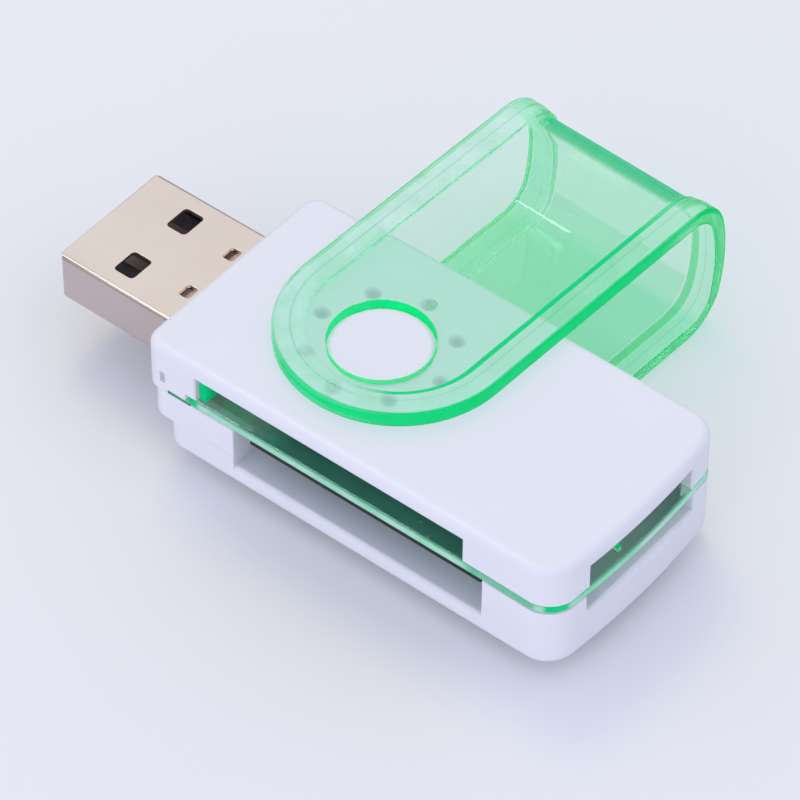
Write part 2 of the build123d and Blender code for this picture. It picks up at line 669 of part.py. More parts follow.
def make_crystal(x, y):
    """Metal crystal can on the underside of the board: flange and raised lid."""
    length, width, height = CRYSTAL_SIZE
    base = BOARD_UNDER - height + CRYSTAL_LID
    can = block(x - length / 2, x + length / 2, y - width / 2, y + width / 2, base, BOARD_UNDER)
    lid = Rectangle(length - CRYSTAL_LID, width - CRYSTAL_LID)
    return can + extrude(Pos(x, y, BOARD_UNDER - height) * lid, amount=CRYSTAL_LID)


def make_indicator_led(x, y):
    """Light on the upper face of the board, under the plate's notch."""
    length, width, height = LED_SIZE
    led = block(x - length / 2, x + length / 2, y - width / 2, y + width / 2, PARTING, PARTING + height / 2)
    lens = block(x - length / 4, x + length / 4, y - width / 2, y + width / 2, PARTING, PARTING + height)
    return led + chamfer(lens.edges().filter_by(Axis.Y).group_by(Axis.Z)[-1], height / 3)


def make_parts():
    """Every piece by its name, in the pivot's frame."""
    chip_x = (BOARD_FRONT + LARGE_SLOT_LEFT - SLOT_GUIDE) / 2
    outer_y = (PLUG_WIDTH / 2 + BOARD_SIDE) / 2
    inner_y = (PLUG_WIDTH / 2 - PLUG_SHEET + CHIP_LENGTH / 2) / 2
    lamp_y = (PLUG_WIDTH / 2 + HALF_WIDTH - PLATE_ARM) / 2
    parts = {
        "top_shell": make_top_shell(),
        "bottom_shell": make_bottom_shell(),
        "middle_plate": make_middle_plate(UPPER_ROWS),
        "swivel_cover": make_swivel_cover(),
        "usb_shell": make_usb_shell(),
        "usb_tongue": make_usb_tongue(),
        "circuit_board": make_circuit_board(),
        "controller_chip": make_controller_chip(chip_x, 0),
        "crystal": make_crystal(chip_x, outer_y),
        "capacitor_1": make_end_capped(CAPACITOR_SIZE, chip_x - SMALL_PART_OFFSET, -outer_y),
        "capacitor_2": make_end_capped(CAPACITOR_SIZE, chip_x + SMALL_PART_OFFSET, -outer_y),
        "resistor": make_end_capped(RESISTOR_SIZE, chip_x + SMALL_PART_OFFSET, -inner_y),
        "indicator_led": make_indicator_led(chip_x, lamp_y),
    }
    for number, (y, setback) in enumerate(usb_pin_places(), 1):
        parts[f"usb_contact_{number}"] = make_usb_contact(y, setback)
    for row in UPPER_ROWS + LOWER_ROWS:
        parts[f"{row.name}_holder"] = row.holder()
        for index in range(row.count):
            parts[f"{row.name}_contact_{index + 1}"] = row.contact(index)
    return parts


def main():
    """Build every piece, move the origin under the middle of the part and write one file each."""
    parts = make_parts()
    whole = Compound(list(parts.values())).bounding_box()
    middle = whole.center()
    os.makedirs("parts", exist_ok=True)
    for name, part in parts.items():
        export_step(Pos(-middle.X, -middle.Y, -whole.min.Z) * part, f"parts/{name}.step")
    print(f"pivot at x {-middle.X:.3f}, y {-middle.Y:.3f}; size {whole.size}")


main()
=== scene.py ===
"""Looks of a pocket card reader with a clear swivel cover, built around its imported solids.

Sizes are in millimetres, in the pivot's own frame: X = Y = 0 is the cover's pivot, the plug points to -X,
the opened cover to +Y, and Z = 0 is the surface that the lower arm stands on. Every finished mesh is moved
into the shared frame, in metres, by Bench.to_frame.
"""

import json
import logging
import math
from collections.abc import Callable, Iterable, Sequence
from dataclasses import dataclass, field
from enum import Enum

import bmesh
import bpy
from mathutils import Matrix, Vector

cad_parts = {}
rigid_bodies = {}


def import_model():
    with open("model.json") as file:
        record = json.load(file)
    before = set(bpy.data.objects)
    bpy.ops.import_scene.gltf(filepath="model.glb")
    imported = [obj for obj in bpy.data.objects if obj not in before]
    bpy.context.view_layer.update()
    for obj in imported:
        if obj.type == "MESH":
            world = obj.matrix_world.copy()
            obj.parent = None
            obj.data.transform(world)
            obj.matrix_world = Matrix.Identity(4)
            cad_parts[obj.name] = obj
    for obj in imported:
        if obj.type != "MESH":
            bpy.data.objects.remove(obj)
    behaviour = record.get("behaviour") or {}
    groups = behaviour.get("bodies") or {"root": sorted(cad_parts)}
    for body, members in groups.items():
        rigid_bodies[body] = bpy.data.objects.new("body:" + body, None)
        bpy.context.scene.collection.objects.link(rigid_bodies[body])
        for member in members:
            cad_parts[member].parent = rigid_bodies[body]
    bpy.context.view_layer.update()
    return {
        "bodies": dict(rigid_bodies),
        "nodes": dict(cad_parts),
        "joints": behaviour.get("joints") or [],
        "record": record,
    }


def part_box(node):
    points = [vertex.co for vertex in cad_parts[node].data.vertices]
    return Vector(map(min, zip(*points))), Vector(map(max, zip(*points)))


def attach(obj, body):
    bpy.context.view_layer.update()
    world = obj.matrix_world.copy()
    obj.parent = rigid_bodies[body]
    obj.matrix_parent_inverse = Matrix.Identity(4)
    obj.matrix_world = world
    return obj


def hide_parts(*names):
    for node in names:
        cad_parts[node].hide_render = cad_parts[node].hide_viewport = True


LOG = logging.getLogger("card_reader")
MM = 0.001
BUMP_DEPTH = 0.05 * MM
# Vertex notes of painted glow, highlights and shadow on the clear parts, of painted shade in the shell's dimples and of
# a grey on the plate's arm tops
PAINTED_LIGHT_SHARE = "painted_light_share"
PAINTED_LIGHT_COLOUR = "painted_light_colour"

Colour = tuple[float, float, float]
Point2 = tuple[float, float]
Sockets = dict[str, object]


class Finish(Enum):
    """Names of the finishes, one material each."""

    WHITE_SHELL = "white_shell"
    CLEAR_COVER = "clear_cover"
    CLEAR_PLATE = "clear_plate"
    PLUG_METAL = "plug_metal"
    SPRING_GOLD = "spring_gold"
    DULL_CONTACT = "dull_contact"
    CAN_METAL = "can_metal"
    BOARD_MASK = "board_mask"
    BLACK_MOULDING = "black_moulding"
    TONGUE_MOULDING = "tongue_moulding"
    LAMP_LENS = "lamp_lens"


class Carve(Enum):
    """Ways of joining one mesh to another."""

    CUT = "DIFFERENCE"
    ADD = "UNION"


class Zone(Enum):
    """Parts of the cover's edge section, which get their own painted glow, highlights and shadow."""

    PLAIN = "plain"
    FOOT = "foot"
    CREASE = "crease"
    BAND = "band"
    RIM = "rim"
    WALL = "wall"
    LIP = "lip"


# Shader helpers

class Graph:
    """A node tree with short calls to add and link nodes."""

    def __init__(self, tree: bpy.types.NodeTree) -> None:
        """Keep the tree and clear it."""
        self.tree = tree
        tree.nodes.clear()

    def add(self, kind: str, inputs: Sockets | None = None, **settings: object) -> bpy.types.Node:
        """Add a node.

        Args:
            kind: The node's type name.
            inputs: Input names or indices with a value or an output socket to link.
            **settings: Properties of the node.

        Returns:
            The new node.
        """
        node = self.tree.nodes.new(kind)
        for name, value in settings.items():
            setattr(node, name, value)
        for key, value in (inputs or {}).items():
            if isinstance(value, bpy.types.NodeSocket):
                self.tree.links.new(value, node.inputs[key])
            else:
                node.inputs[key].default_value = value
        return node

    def math(self, operation: str, first: object, second: object = 0.0) -> bpy.types.NodeSocket:
        """Output of a math node."""
        return self.add("ShaderNodeMath", {0: first, 1: second}, operation=operation).outputs[0]

    def blend(self, share: object, low: object, high: object) -> bpy.types.NodeSocket:
        """Colour between two colours, by a share from 0 to 1."""
        return self.add("ShaderNodeMix", {0: share, 6: low, 7: high}, data_type="RGBA").outputs[2]

    def span(self, value: object, low: float, high: float, to_low: float, to_high: float) -> bpy.types.NodeSocket:
        """Value mapped from one range to another and clamped."""
        return self.add("ShaderNodeMapRange", {0: value, 1: low, 2: high, 3: to_low, 4: to_high}).outputs[0]


def rgba(colour: Colour) -> tuple[float, float, float, float]:
    """Opaque colour with its alpha."""
    return (*colour, 1.0)


def new_material(name: str, colour: Sequence[float]) -> tuple[bpy.types.Material, Graph]:
    """Start a material.

    Args:
        name: Name of the material.
        colour: Its colour in the viewport.

    Returns:
        The material and its empty graph.
    """
    made = bpy.data.materials.new(name)
    made.use_nodes = True
    made.diffuse_color = colour
    return made, Graph(made.node_tree)


def new_group(name: str, inputs: Sequence[tuple], outputs: Sequence[tuple]) -> tuple[Graph, Sockets, bpy.types.Node]:
    """Start a shader node group.

    Args:
        name: Name of the group.
        inputs: Name, socket type and default of each input.
        outputs: Name and socket type of each output.

    Returns:
        The group's graph, its input sockets by name and its output node.
    """
    tree = bpy.data.node_groups.new(name, "ShaderNodeTree")
    graph = Graph(tree)
    for label, kind, default in inputs:
        tree.interface.new_socket(label, in_out="INPUT", socket_type=kind).default_value = default
    for label, kind in outputs:
        tree.interface.new_socket(label, in_out="OUTPUT", socket_type=kind)
    entry = graph.add("NodeGroupInput")
    return graph, {label: entry.outputs[label] for label, _, _ in inputs}, graph.add("NodeGroupOutput")


class Effects:
    """Shader node groups shared by the finishes."""

    broad_scale: float = 180.0
    cloud_span: Point2 = (0.35, 0.65)
    speck_scale: float = 900.0
    speck_radius: float = 0.12

    def __init__(self) -> None:
        """Build each group once."""
        self.grain = self.build_grain()
        self.mottle = self.build_mottle()

    def build_grain(self) -> bpy.types.NodeTree:
        """Fine moulding or rolling grain, stretched along X on request.

        Returns:
            A group that puts out a roughness and a bump height.
        """
        graph, given, out = new_group(
            "surface_grain",
            [("Scale", "NodeSocketFloat", 4000.0), ("Stretch", "NodeSocketFloat", 1.0),
             ("Roughness", "NodeSocketFloat", 0.4), ("Spread", "NodeSocketFloat", 0.05)],
            [("Roughness", "NodeSocketFloat"), ("Height", "NodeSocketFloat")],
        )
        place = graph.add("ShaderNodeTexCoord").outputs["Object"]
        stretch = graph.add("ShaderNodeCombineXYZ", {0: given["Stretch"], 1: 1.0, 2: 1.0}).outputs[0]
        place = graph.add("ShaderNodeVectorMath", {0: place, 1: stretch}, operation="MULTIPLY").outputs[0]
        fine = graph.add("ShaderNodeTexNoise", {"Vector": place, "Scale": given["Scale"], "Detail": 3.0})
        broad = graph.add("ShaderNodeTexNoise", {"Vector": place, "Scale": self.broad_scale, "Detail": 2.0})
        both = graph.math("ADD", graph.math("SUBTRACT", fine.outputs[0], 0.5),
                          graph.math("SUBTRACT", broad.outputs[0], 0.5))
        rough = graph.math("ADD", given["Roughness"], graph.math("MULTIPLY", both, given["Spread"]))
        graph.tree.links.new(rough, out.inputs["Roughness"])
        graph.tree.links.new(fine.outputs[0], out.inputs["Height"])
        return graph.tree

    def build_mottle(self) -> bpy.types.NodeTree:
        """Slight uneven tone, with sparse small specks.

        Returns:
            A group that puts out a colour.
        """
        graph, given, out = new_group(
            "uneven_tone",
            [("Colour", "NodeSocketColor", (0.8, 0.8, 0.8, 1.0)), ("Second", "NodeSocketColor", (0.7, 0.7, 0.7, 1.0)),
             ("Scale", "NodeSocketFloat", 120.0), ("Speck", "NodeSocketColor", (0.2, 0.2, 0.2, 1.0)),
             ("Speck Share", "NodeSocketFloat", 0.0)],
            [("Colour", "NodeSocketColor")],
        )
        place = graph.add("ShaderNodeTexCoord").outputs["Object"]
        cloud = graph.add("ShaderNodeTexNoise", {"Vector": place, "Scale": given["Scale"], "Detail": 3.0})
        tone = graph.blend(graph.span(cloud.outputs[0], *self.cloud_span, 0.0, 1.0), given["Colour"], given["Second"])
        cells = graph.add("ShaderNodeTexVoronoi", {"Vector": place, "Scale": self.speck_scale})
        chosen = graph.add("ShaderNodeSeparateColor", {0: cells.outputs["Color"]}).outputs[0]
        here = graph.math("LESS_THAN", cells.outputs["Distance"], self.speck_radius)
        speck = graph.math("MULTIPLY", here, graph.math("LESS_THAN", chosen, given["Speck Share"]))
        graph.tree.links.new(graph.blend(speck, tone, given["Speck"]), out.inputs["Colour"])
        return graph.tree

    def surface(self, graph: Graph, finish: "Opaque | Clear") -> Sockets:
        """Add the grain of a finish.

        Args:
            graph: The material's graph.
            finish: The finish.

        Returns:
            The shader inputs that the grain sets.
        """
        grain = graph.add("ShaderNodeGroup", {
            "Scale": finish.grain_scale, "Stretch": finish.grain_stretch, "Roughness": finish.roughness,
            "Spread": finish.spread}, node_tree=self.grain)
        bump = graph.add("ShaderNodeBump", {
            "Strength": finish.bump, "Distance": BUMP_DEPTH, "Height": grain.outputs["Height"]})
        return {"Roughness": grain.outputs["Roughness"], "Normal": bump.outputs[0]}


@dataclass(frozen=True)
class Opaque:
    """A moulded or metal finish."""

    colour: Colour
    second: Colour
    roughness: float
    spread: float = 0.05
    metallic: float = 0.0
    grain_scale: float = 4000.0
    grain_stretch: float = 1.0
    bump: float = 0.02
    tone_scale: float = 120.0
    speck: Colour = (0.2, 0.2, 0.2)
    speck_share: float = 0.0
    coat: float = 0.0
    side: Colour | None = None
    side_rise: float = 0.5
    shade: Colour | None = None

    def material(self, name: str, effects: Effects) -> bpy.types.Material:
        """Build the material.

        Args:
            name: Name of the material.
            effects: The shared node groups.

        Returns:
            The new material.
        """
        made, graph = new_material(name, rgba(self.colour))
        tone = graph.add("ShaderNodeGroup", {
            "Colour": rgba(self.colour), "Second": rgba(self.second), "Scale": self.tone_scale,
            "Speck": rgba(self.speck), "Speck Share": self.speck_share}, node_tree=effects.mottle)
        colour = tone.outputs["Colour"]
        if self.side:
            normal = graph.add("ShaderNodeNewGeometry").outputs["True Normal"]
            rise = graph.math("ABSOLUTE", graph.add("ShaderNodeSeparateXYZ", {0: normal}).outputs[2])
            colour = graph.blend(graph.math("LESS_THAN", rise, self.side_rise), colour, rgba(self.side))
        # painted shade where the mesh notes a share: the shell's dimples
        if self.shade:
            share = graph.add("ShaderNodeAttribute", attribute_name=PAINTED_LIGHT_SHARE).outputs["Fac"]
            colour = graph.blend(share, colour, rgba(self.shade))
        shader = graph.add("ShaderNodeBsdfPrincipled", {
            "Base Color": colour, "Metallic": self.metallic, "Coat Weight": self.coat,
            **effects.surface(graph, self)})
        graph.add("ShaderNodeOutputMaterial", {"Surface": shader.outputs[0]})
        return made


@dataclass(frozen=True)
class Clear:
    """A clear tinted moulding: the tint deepens with the length of plastic that light crosses.

    Where the mesh notes a share on its vertices the surface also scatters the noted colour and emits it:
    painted glow, highlights and shade that stand in for light led out at the moulding's edges.
    """

    absorbed: Colour
    density: float
    painted_glow: float
    glow_patch_colour: Colour = (0.0, 0.60, 0.20)
    roughness: float = 0.02
    ior: float = 1.49
    glow_patch_share: float = 0.35
    glow_patch_scale: float = 400.0
    behind_share: float = 0.4
    straight: float = 0.98
    grain_scale: float = 700.0
    grain_stretch: float = 1.0
    spread: float = 0.02
    bump: float = 0.03
    viewport_alpha: float = 0.5

    def material(self, name: str, effects: Effects) -> bpy.types.Material:
        """Build the material.

        Args:
            name: Name of the material.
            effects: The shared node groups.

        Returns:
            The new material.
        """
        made, graph = new_material(name, (*self.absorbed, self.viewport_alpha))
        glass = graph.add("ShaderNodeBsdfPrincipled", {
            "Base Color": rgba((1.0, 1.0, 1.0)), "IOR": self.ior, "Transmission Weight": 1.0,
            **effects.surface(graph, self)})
        share = graph.add("ShaderNodeAttribute", attribute_name=PAINTED_LIGHT_SHARE).outputs["Fac"]
        given = graph.add("ShaderNodeAttribute", attribute_name=PAINTED_LIGHT_COLOUR).outputs["Color"]
        tone = graph.add("ShaderNodeGroup", {
            "Colour": given, "Second": graph.blend(self.glow_patch_share, given, rgba(self.glow_patch_colour)),
            "Scale": self.glow_patch_scale}, node_tree=effects.mottle)
        front = graph.add("ShaderNodeBsdfDiffuse", {"Color": tone.outputs["Colour"]})
        behind = graph.add("ShaderNodeBsdfTranslucent", {"Color": tone.outputs["Colour"]})
        scatter = graph.add("ShaderNodeMixShader", {0: self.behind_share, 1: front.outputs[0], 2: behind.outputs[0]})
        # painted glow: the noted colour emits light though the moulding is no lamp
        painted_glow = graph.add("ShaderNodeEmission", {"Color": tone.outputs["Colour"], "Strength": self.painted_glow})
        scatter = graph.add("ShaderNodeAddShader", {0: scatter.outputs[0], 1: painted_glow.outputs[0]})
        glass = graph.add("ShaderNodeMixShader", {0: share, 1: glass.outputs[0], 2: scatter.outputs[0]})
        path = graph.add("ShaderNodeLightPath")
        through = graph.math("MAXIMUM", path.outputs["Is Shadow Ray"], path.outputs["Is Diffuse Ray"])
        straight = graph.add("ShaderNodeBsdfTransparent", {"Color": rgba((self.straight,) * 3)})
        surface = graph.add("ShaderNodeMixShader", {0: through, 1: glass.outputs[0], 2: straight.outputs[0]})
        tint = graph.add("ShaderNodeVolumeAbsorption", {"Color": rgba(self.absorbed), "Density": self.density})
        graph.add("ShaderNodeOutputMaterial", {"Surface": surface.outputs[0], "Volume": tint.outputs[0]})
        return made


FINISHES: dict[Finish, Opaque | Clear] = {
    Finish.WHITE_SHELL: Opaque((0.84, 0.84, 0.86), (0.83, 0.83, 0.85), 0.4, coat=0.1, bump=0.03,
                               shade=(0.50, 0.53, 0.57)),
    # clear finishes: absorbed colour, density and strength of the painted glow
    Finish.CLEAR_COVER: Clear((0.08, 0.99, 0.50), 215.0, 0.08),
    Finish.CLEAR_PLATE: Clear((0.08, 0.99, 0.50), 260.0, 0.25),
    Finish.PLUG_METAL: Opaque((0.93, 0.80, 0.70), (0.89, 0.76, 0.66), 0.3, spread=0.10, metallic=1.0,
                              grain_scale=2500.0, grain_stretch=0.15, bump=0.08),
    Finish.SPRING_GOLD: Opaque((0.86, 0.66, 0.30), (0.80, 0.60, 0.26), 0.25, metallic=1.0),
    Finish.DULL_CONTACT: Opaque((0.48, 0.40, 0.36), (0.44, 0.36, 0.32), 0.45, metallic=1.0),
    Finish.CAN_METAL: Opaque((0.75, 0.74, 0.72), (0.70, 0.69, 0.67), 0.3, metallic=1.0),
    Finish.BOARD_MASK: Opaque((0.05, 0.19, 0.16), (0.065, 0.22, 0.185), 0.4, tone_scale=600.0,
                              speck=(0.25, 0.30, 0.29), speck_share=0.25, side=(0.008, 0.009, 0.010)),
    Finish.BLACK_MOULDING: Opaque((0.03, 0.03, 0.032), (0.04, 0.04, 0.042), 0.5),
    Finish.TONGUE_MOULDING: Opaque((0.10, 0.082, 0.10), (0.12, 0.10, 0.12), 0.5),
    Finish.LAMP_LENS: Opaque((0.70, 0.85, 0.75), (0.66, 0.82, 0.72), 0.2),
}


# Mesh helpers

def add_object(name: str, data: bpy.types.ID) -> bpy.types.Object:
    """Put an object in the scene.

    Args:
        name: Name of the object.
        data: Its mesh, lamp or camera.

    Returns:
        The new object.
    """
    made = bpy.data.objects.new(name, data)
    bpy.context.scene.collection.objects.link(made)
    return made


@dataclass
class Bench:
    """Where the pieces are put together: the frame, its pivot and the materials."""

    frame: dict
    materials: dict[Finish, bpy.types.Material] = field(default_factory=dict)

    def __post_init__(self) -> None:
        """Place the pivot's frame and make the materials."""
        pivot = Vector(self.frame["joints"][0]["pos_m"])
        self.to_frame = Matrix.Translation((pivot.x, pivot.y, 0.0)) @ Matrix.Scale(MM, 4)
        self.to_mm = self.to_frame.inverted()
        effects = Effects()
        self.materials = {name: finish.material(name.value, effects) for name, finish in FINISHES.items()}

    def mount(self, mesh: bmesh.types.BMesh, name: str) -> bpy.types.Object:
        """Make an object of a mesh in millimetres and free the mesh.

        Args:
            mesh: The mesh in the pivot's frame.
            name: Name of the object.

        Returns:
            The object in the shared frame.
        """
        bmesh.ops.recalc_face_normals(mesh, faces=mesh.faces)
        data = bpy.data.meshes.new(name)
        mesh.transform(self.to_frame)
        mesh.to_mesh(data)
        mesh.free()
        return add_object(name, data)

    def carve(self, target: bpy.types.Object, form: bmesh.types.BMesh, way: Carve) -> None:
        """Cut a form out of an object or add it, and free the form.

        Args:
            target: The object.
            form: The mesh in millimetres, in the pivot's frame.
            way: Whether the form is cut out or added.
        """
        tool = self.mount(form, "tool")
        modifier = target.modifiers.new("carve", "BOOLEAN")
        modifier.object = tool
        modifier.operation = way.value
        modifier.solver = "EXACT"
        modifier.use_self = True
        graph = bpy.context.evaluated_depsgraph_get()
        old = target.data
        new = bpy.data.meshes.new_from_object(target.evaluated_get(graph))
        target.modifiers.clear()
        target.data = new
        bpy.data.meshes.remove(old)
        used = tool.data
        bpy.data.objects.remove(tool)
        bpy.data.meshes.remove(used)

    def soften(self, piece: bpy.types.Object, chosen: Callable[[bmesh.types.BMEdge], bool], radius: float,
               steps: int = 3) -> None:
        """Round the chosen sharp edges of a piece.

        Args:
            piece: The object.
            chosen: Says whether an edge is rounded.
            radius: Radius in millimetres.
            steps: Faces across the rounding.
        """
        mesh = bmesh.new()
        mesh.from_mesh(piece.data)
        edges = [edge for edge in mesh.edges if edge.is_manifold and chosen(edge)]
        bmesh.ops.bevel(mesh, geom=edges, offset=radius * MM, offset_type="OFFSET", segments=steps,
                        profile=0.5, affect="EDGES", clamp_overlap=False)
        mesh.to_mesh(piece.data)
        mesh.free()

    def finish(self, piece: bpy.types.Object, finish: Finish, body: str, node: str, slot: str,
               crease: float = 35.0) -> None:
        """Dress a piece, put it on its body and let it stand for a solid.

        Args:
            piece: The object.
            finish: Its finish.
            body: The body it rides on.
            node: The solid it stands for.
            slot: The record's material slot; not used.
            crease: Angle in degrees past which an edge stays sharp.
        """
        piece.data.materials.clear()
        piece.data.materials.append(self.materials[finish])
        piece.data.polygons.foreach_set("use_smooth", [True] * len(piece.data.polygons))
        piece.data.set_sharp_from_angle(angle=math.radians(crease))
        weights = piece.modifiers.new("even_normals", "WEIGHTED_NORMAL")
        weights.keep_sharp = True
        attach(piece, body)
        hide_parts(node)
        LOG.info("%s: %d faces stand for %s", piece.name, len(piece.data.polygons), node)

    def span(self, prefix: str) -> tuple[Vector, Vector]:
        """Lowest and highest corner, in millimetres, of the solids whose names start with a word."""
        boxes = [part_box(node) for node in self.frame["nodes"] if node.startswith(prefix)]
        low = self.to_mm @ Vector([min(box[0][axis] for box in boxes) for axis in range(3)])
        return low, self.to_mm @ Vector([max(box[1][axis] for box in boxes) for axis in range(3)])

    def dress(self, node: str, finish: Finish) -> None:
        """Give a solid of the frame its finish."""
        data = self.frame["nodes"][node].data
        data.materials.clear()
        data.materials.append(self.materials[finish])
        LOG.info("%s: %s", node, finish.value)


def clamp(value: float) -> float:
    """Value kept between 0 and 1."""
    return min(1.0, max(0.0, value))


def between(limits: Point2, share: float) -> float:
    """Value at a share of the way between two limits."""
    return limits[0] + (limits[1] - limits[0]) * share


def mixed(first: Colour, second: Colour, share: float) -> Colour:
    """Colour at a share of the way between two colours."""
    return tuple(Vector(first).lerp(Vector(second), share))


def light_painted_mesh() -> bmesh.types.BMesh:
    """New mesh that can note painted glow, highlights and shade on its vertices."""
    mesh = bmesh.new()
    mesh.verts.layers.float.new(PAINTED_LIGHT_SHARE)
    mesh.verts.layers.float_color.new(PAINTED_LIGHT_COLOUR)
    return mesh


def tint(mesh: bmesh.types.BMesh, vertices: Iterable[bmesh.types.BMVert], colour: Colour, share: float) -> None:
    """Note the colour and the share of painted light at some vertices."""
    for vertex in vertices:
        vertex[mesh.verts.layers.float[PAINTED_LIGHT_SHARE]] = share
        vertex[mesh.verts.layers.float_color[PAINTED_LIGHT_COLOUR]] = rgba(colour)


def arc(centre: Point2, radius: float, start: float, end: float, steps: int) -> list[tuple[Point2, Point2]]:
    """Points on an arc with their outward normals.

    Args:
        centre: Centre of the arc.
        radius: Radius.
        start: First angle in degrees.
        end: Last angle in degrees.
        steps: Number of steps between them.

    Returns:
        Point and normal pairs, both ends included.
    """
    made = []
    for index in range(steps + 1):
        angle = math.radians(start + (end - start) * index / steps)
        normal = (math.cos(angle), math.sin(angle))
        made.append(((centre[0] + radius * normal[0], centre[1] + radius * normal[1]), normal))
    return made


def box(mesh: bmesh.types.BMesh, x: Point2, y: Point2, z: Point2) -> None:
    """Add a box between two limits on each axis."""
    place = Matrix.Translation(((x[0] + x[1]) / 2, (y[0] + y[1]) / 2, (z[0] + z[1]) / 2))
    size = Matrix.Diagonal((x[1] - x[0], y[1] - y[0], z[1] - z[0], 1.0))
    bmesh.ops.create_cube(mesh, size=1.0, matrix=place @ size)


def lathe(mesh: bmesh.types.BMesh, profile: Sequence[Point2], centre: Point2, steps: int = 72) -> None:
    """Add a closed turned form.

    Args:
        mesh: The mesh to add to.
        profile: Radius and height pairs from the bottom to the top; the ends are capped.
        centre: X and Y of the upright axis.
        steps: Faces round the form.
    """
    rings = []
    for radius, height in profile:
        ring = []
        for index in range(steps):
            angle = 2 * math.pi * index / steps
            ring.append(mesh.verts.new((centre[0] + radius * math.cos(angle),
                                        centre[1] + radius * math.sin(angle), height)))
        rings.append(ring)
    cap_rings(mesh, rings)


def cap_rings(mesh: bmesh.types.BMesh, rings: Sequence[Sequence[bmesh.types.BMVert]]) -> None:
    """Join rings and close the first and the last."""
    join_rings(mesh, rings)
    mesh.faces.new(reversed(rings[0]))
    mesh.faces.new(rings[-1])


def extrude(mesh: bmesh.types.BMesh, section: Sequence[Point2], limits: Point2,
            place: Callable[[float, float, float], tuple[float, float, float]]) -> None:
    """Add a section drawn out along a line.

    Args:
        mesh: The mesh to add to.
        section: The section's corners in order.
        limits: Where the line starts and ends.
        place: Gives the point for a distance along the line and a corner.
    """
    cap_rings(mesh, [[mesh.verts.new(place(along, *corner)) for corner in section] for along in limits])


def rounded_plan(first: Point2, second: Point2, corner: float) -> list[Point2]:
    """Rectangle between two limits each way, with rounded corners, as a closed line of points."""
    points = []
    for turn, (a, b) in enumerate(((1, 1), (0, 1), (0, 0), (1, 0))):
        centre = (first[a] - (2 * a - 1) * corner, second[b] - (2 * b - 1) * corner)
        points += [point for point, _ in arc(centre, corner, 90 * turn, 90 * turn + 90, 5)]
    return points


def join_rings(mesh: bmesh.types.BMesh, rings: Sequence[Sequence[bmesh.types.BMVert]]) -> None:
    """Add a band of faces between each ring and the next, all closed and of one length."""
    for low, high in zip(rings, rings[1:]):
        count = len(low)
        for index in range(count):
            after = (index + 1) % count
            mesh.faces.new((low[index], low[after], high[after], high[index]))


def quarter(radius: float, steps: int) -> list[Point2]:
    """Inset and drop along a quarter round, from the side up to the top."""
    turns = [math.pi / 2 * index / steps for index in range(steps + 1)]
    return [(radius * (1 - math.cos(turn)), radius * (1 - math.sin(turn))) for turn in turns]


# Sub-assemblies

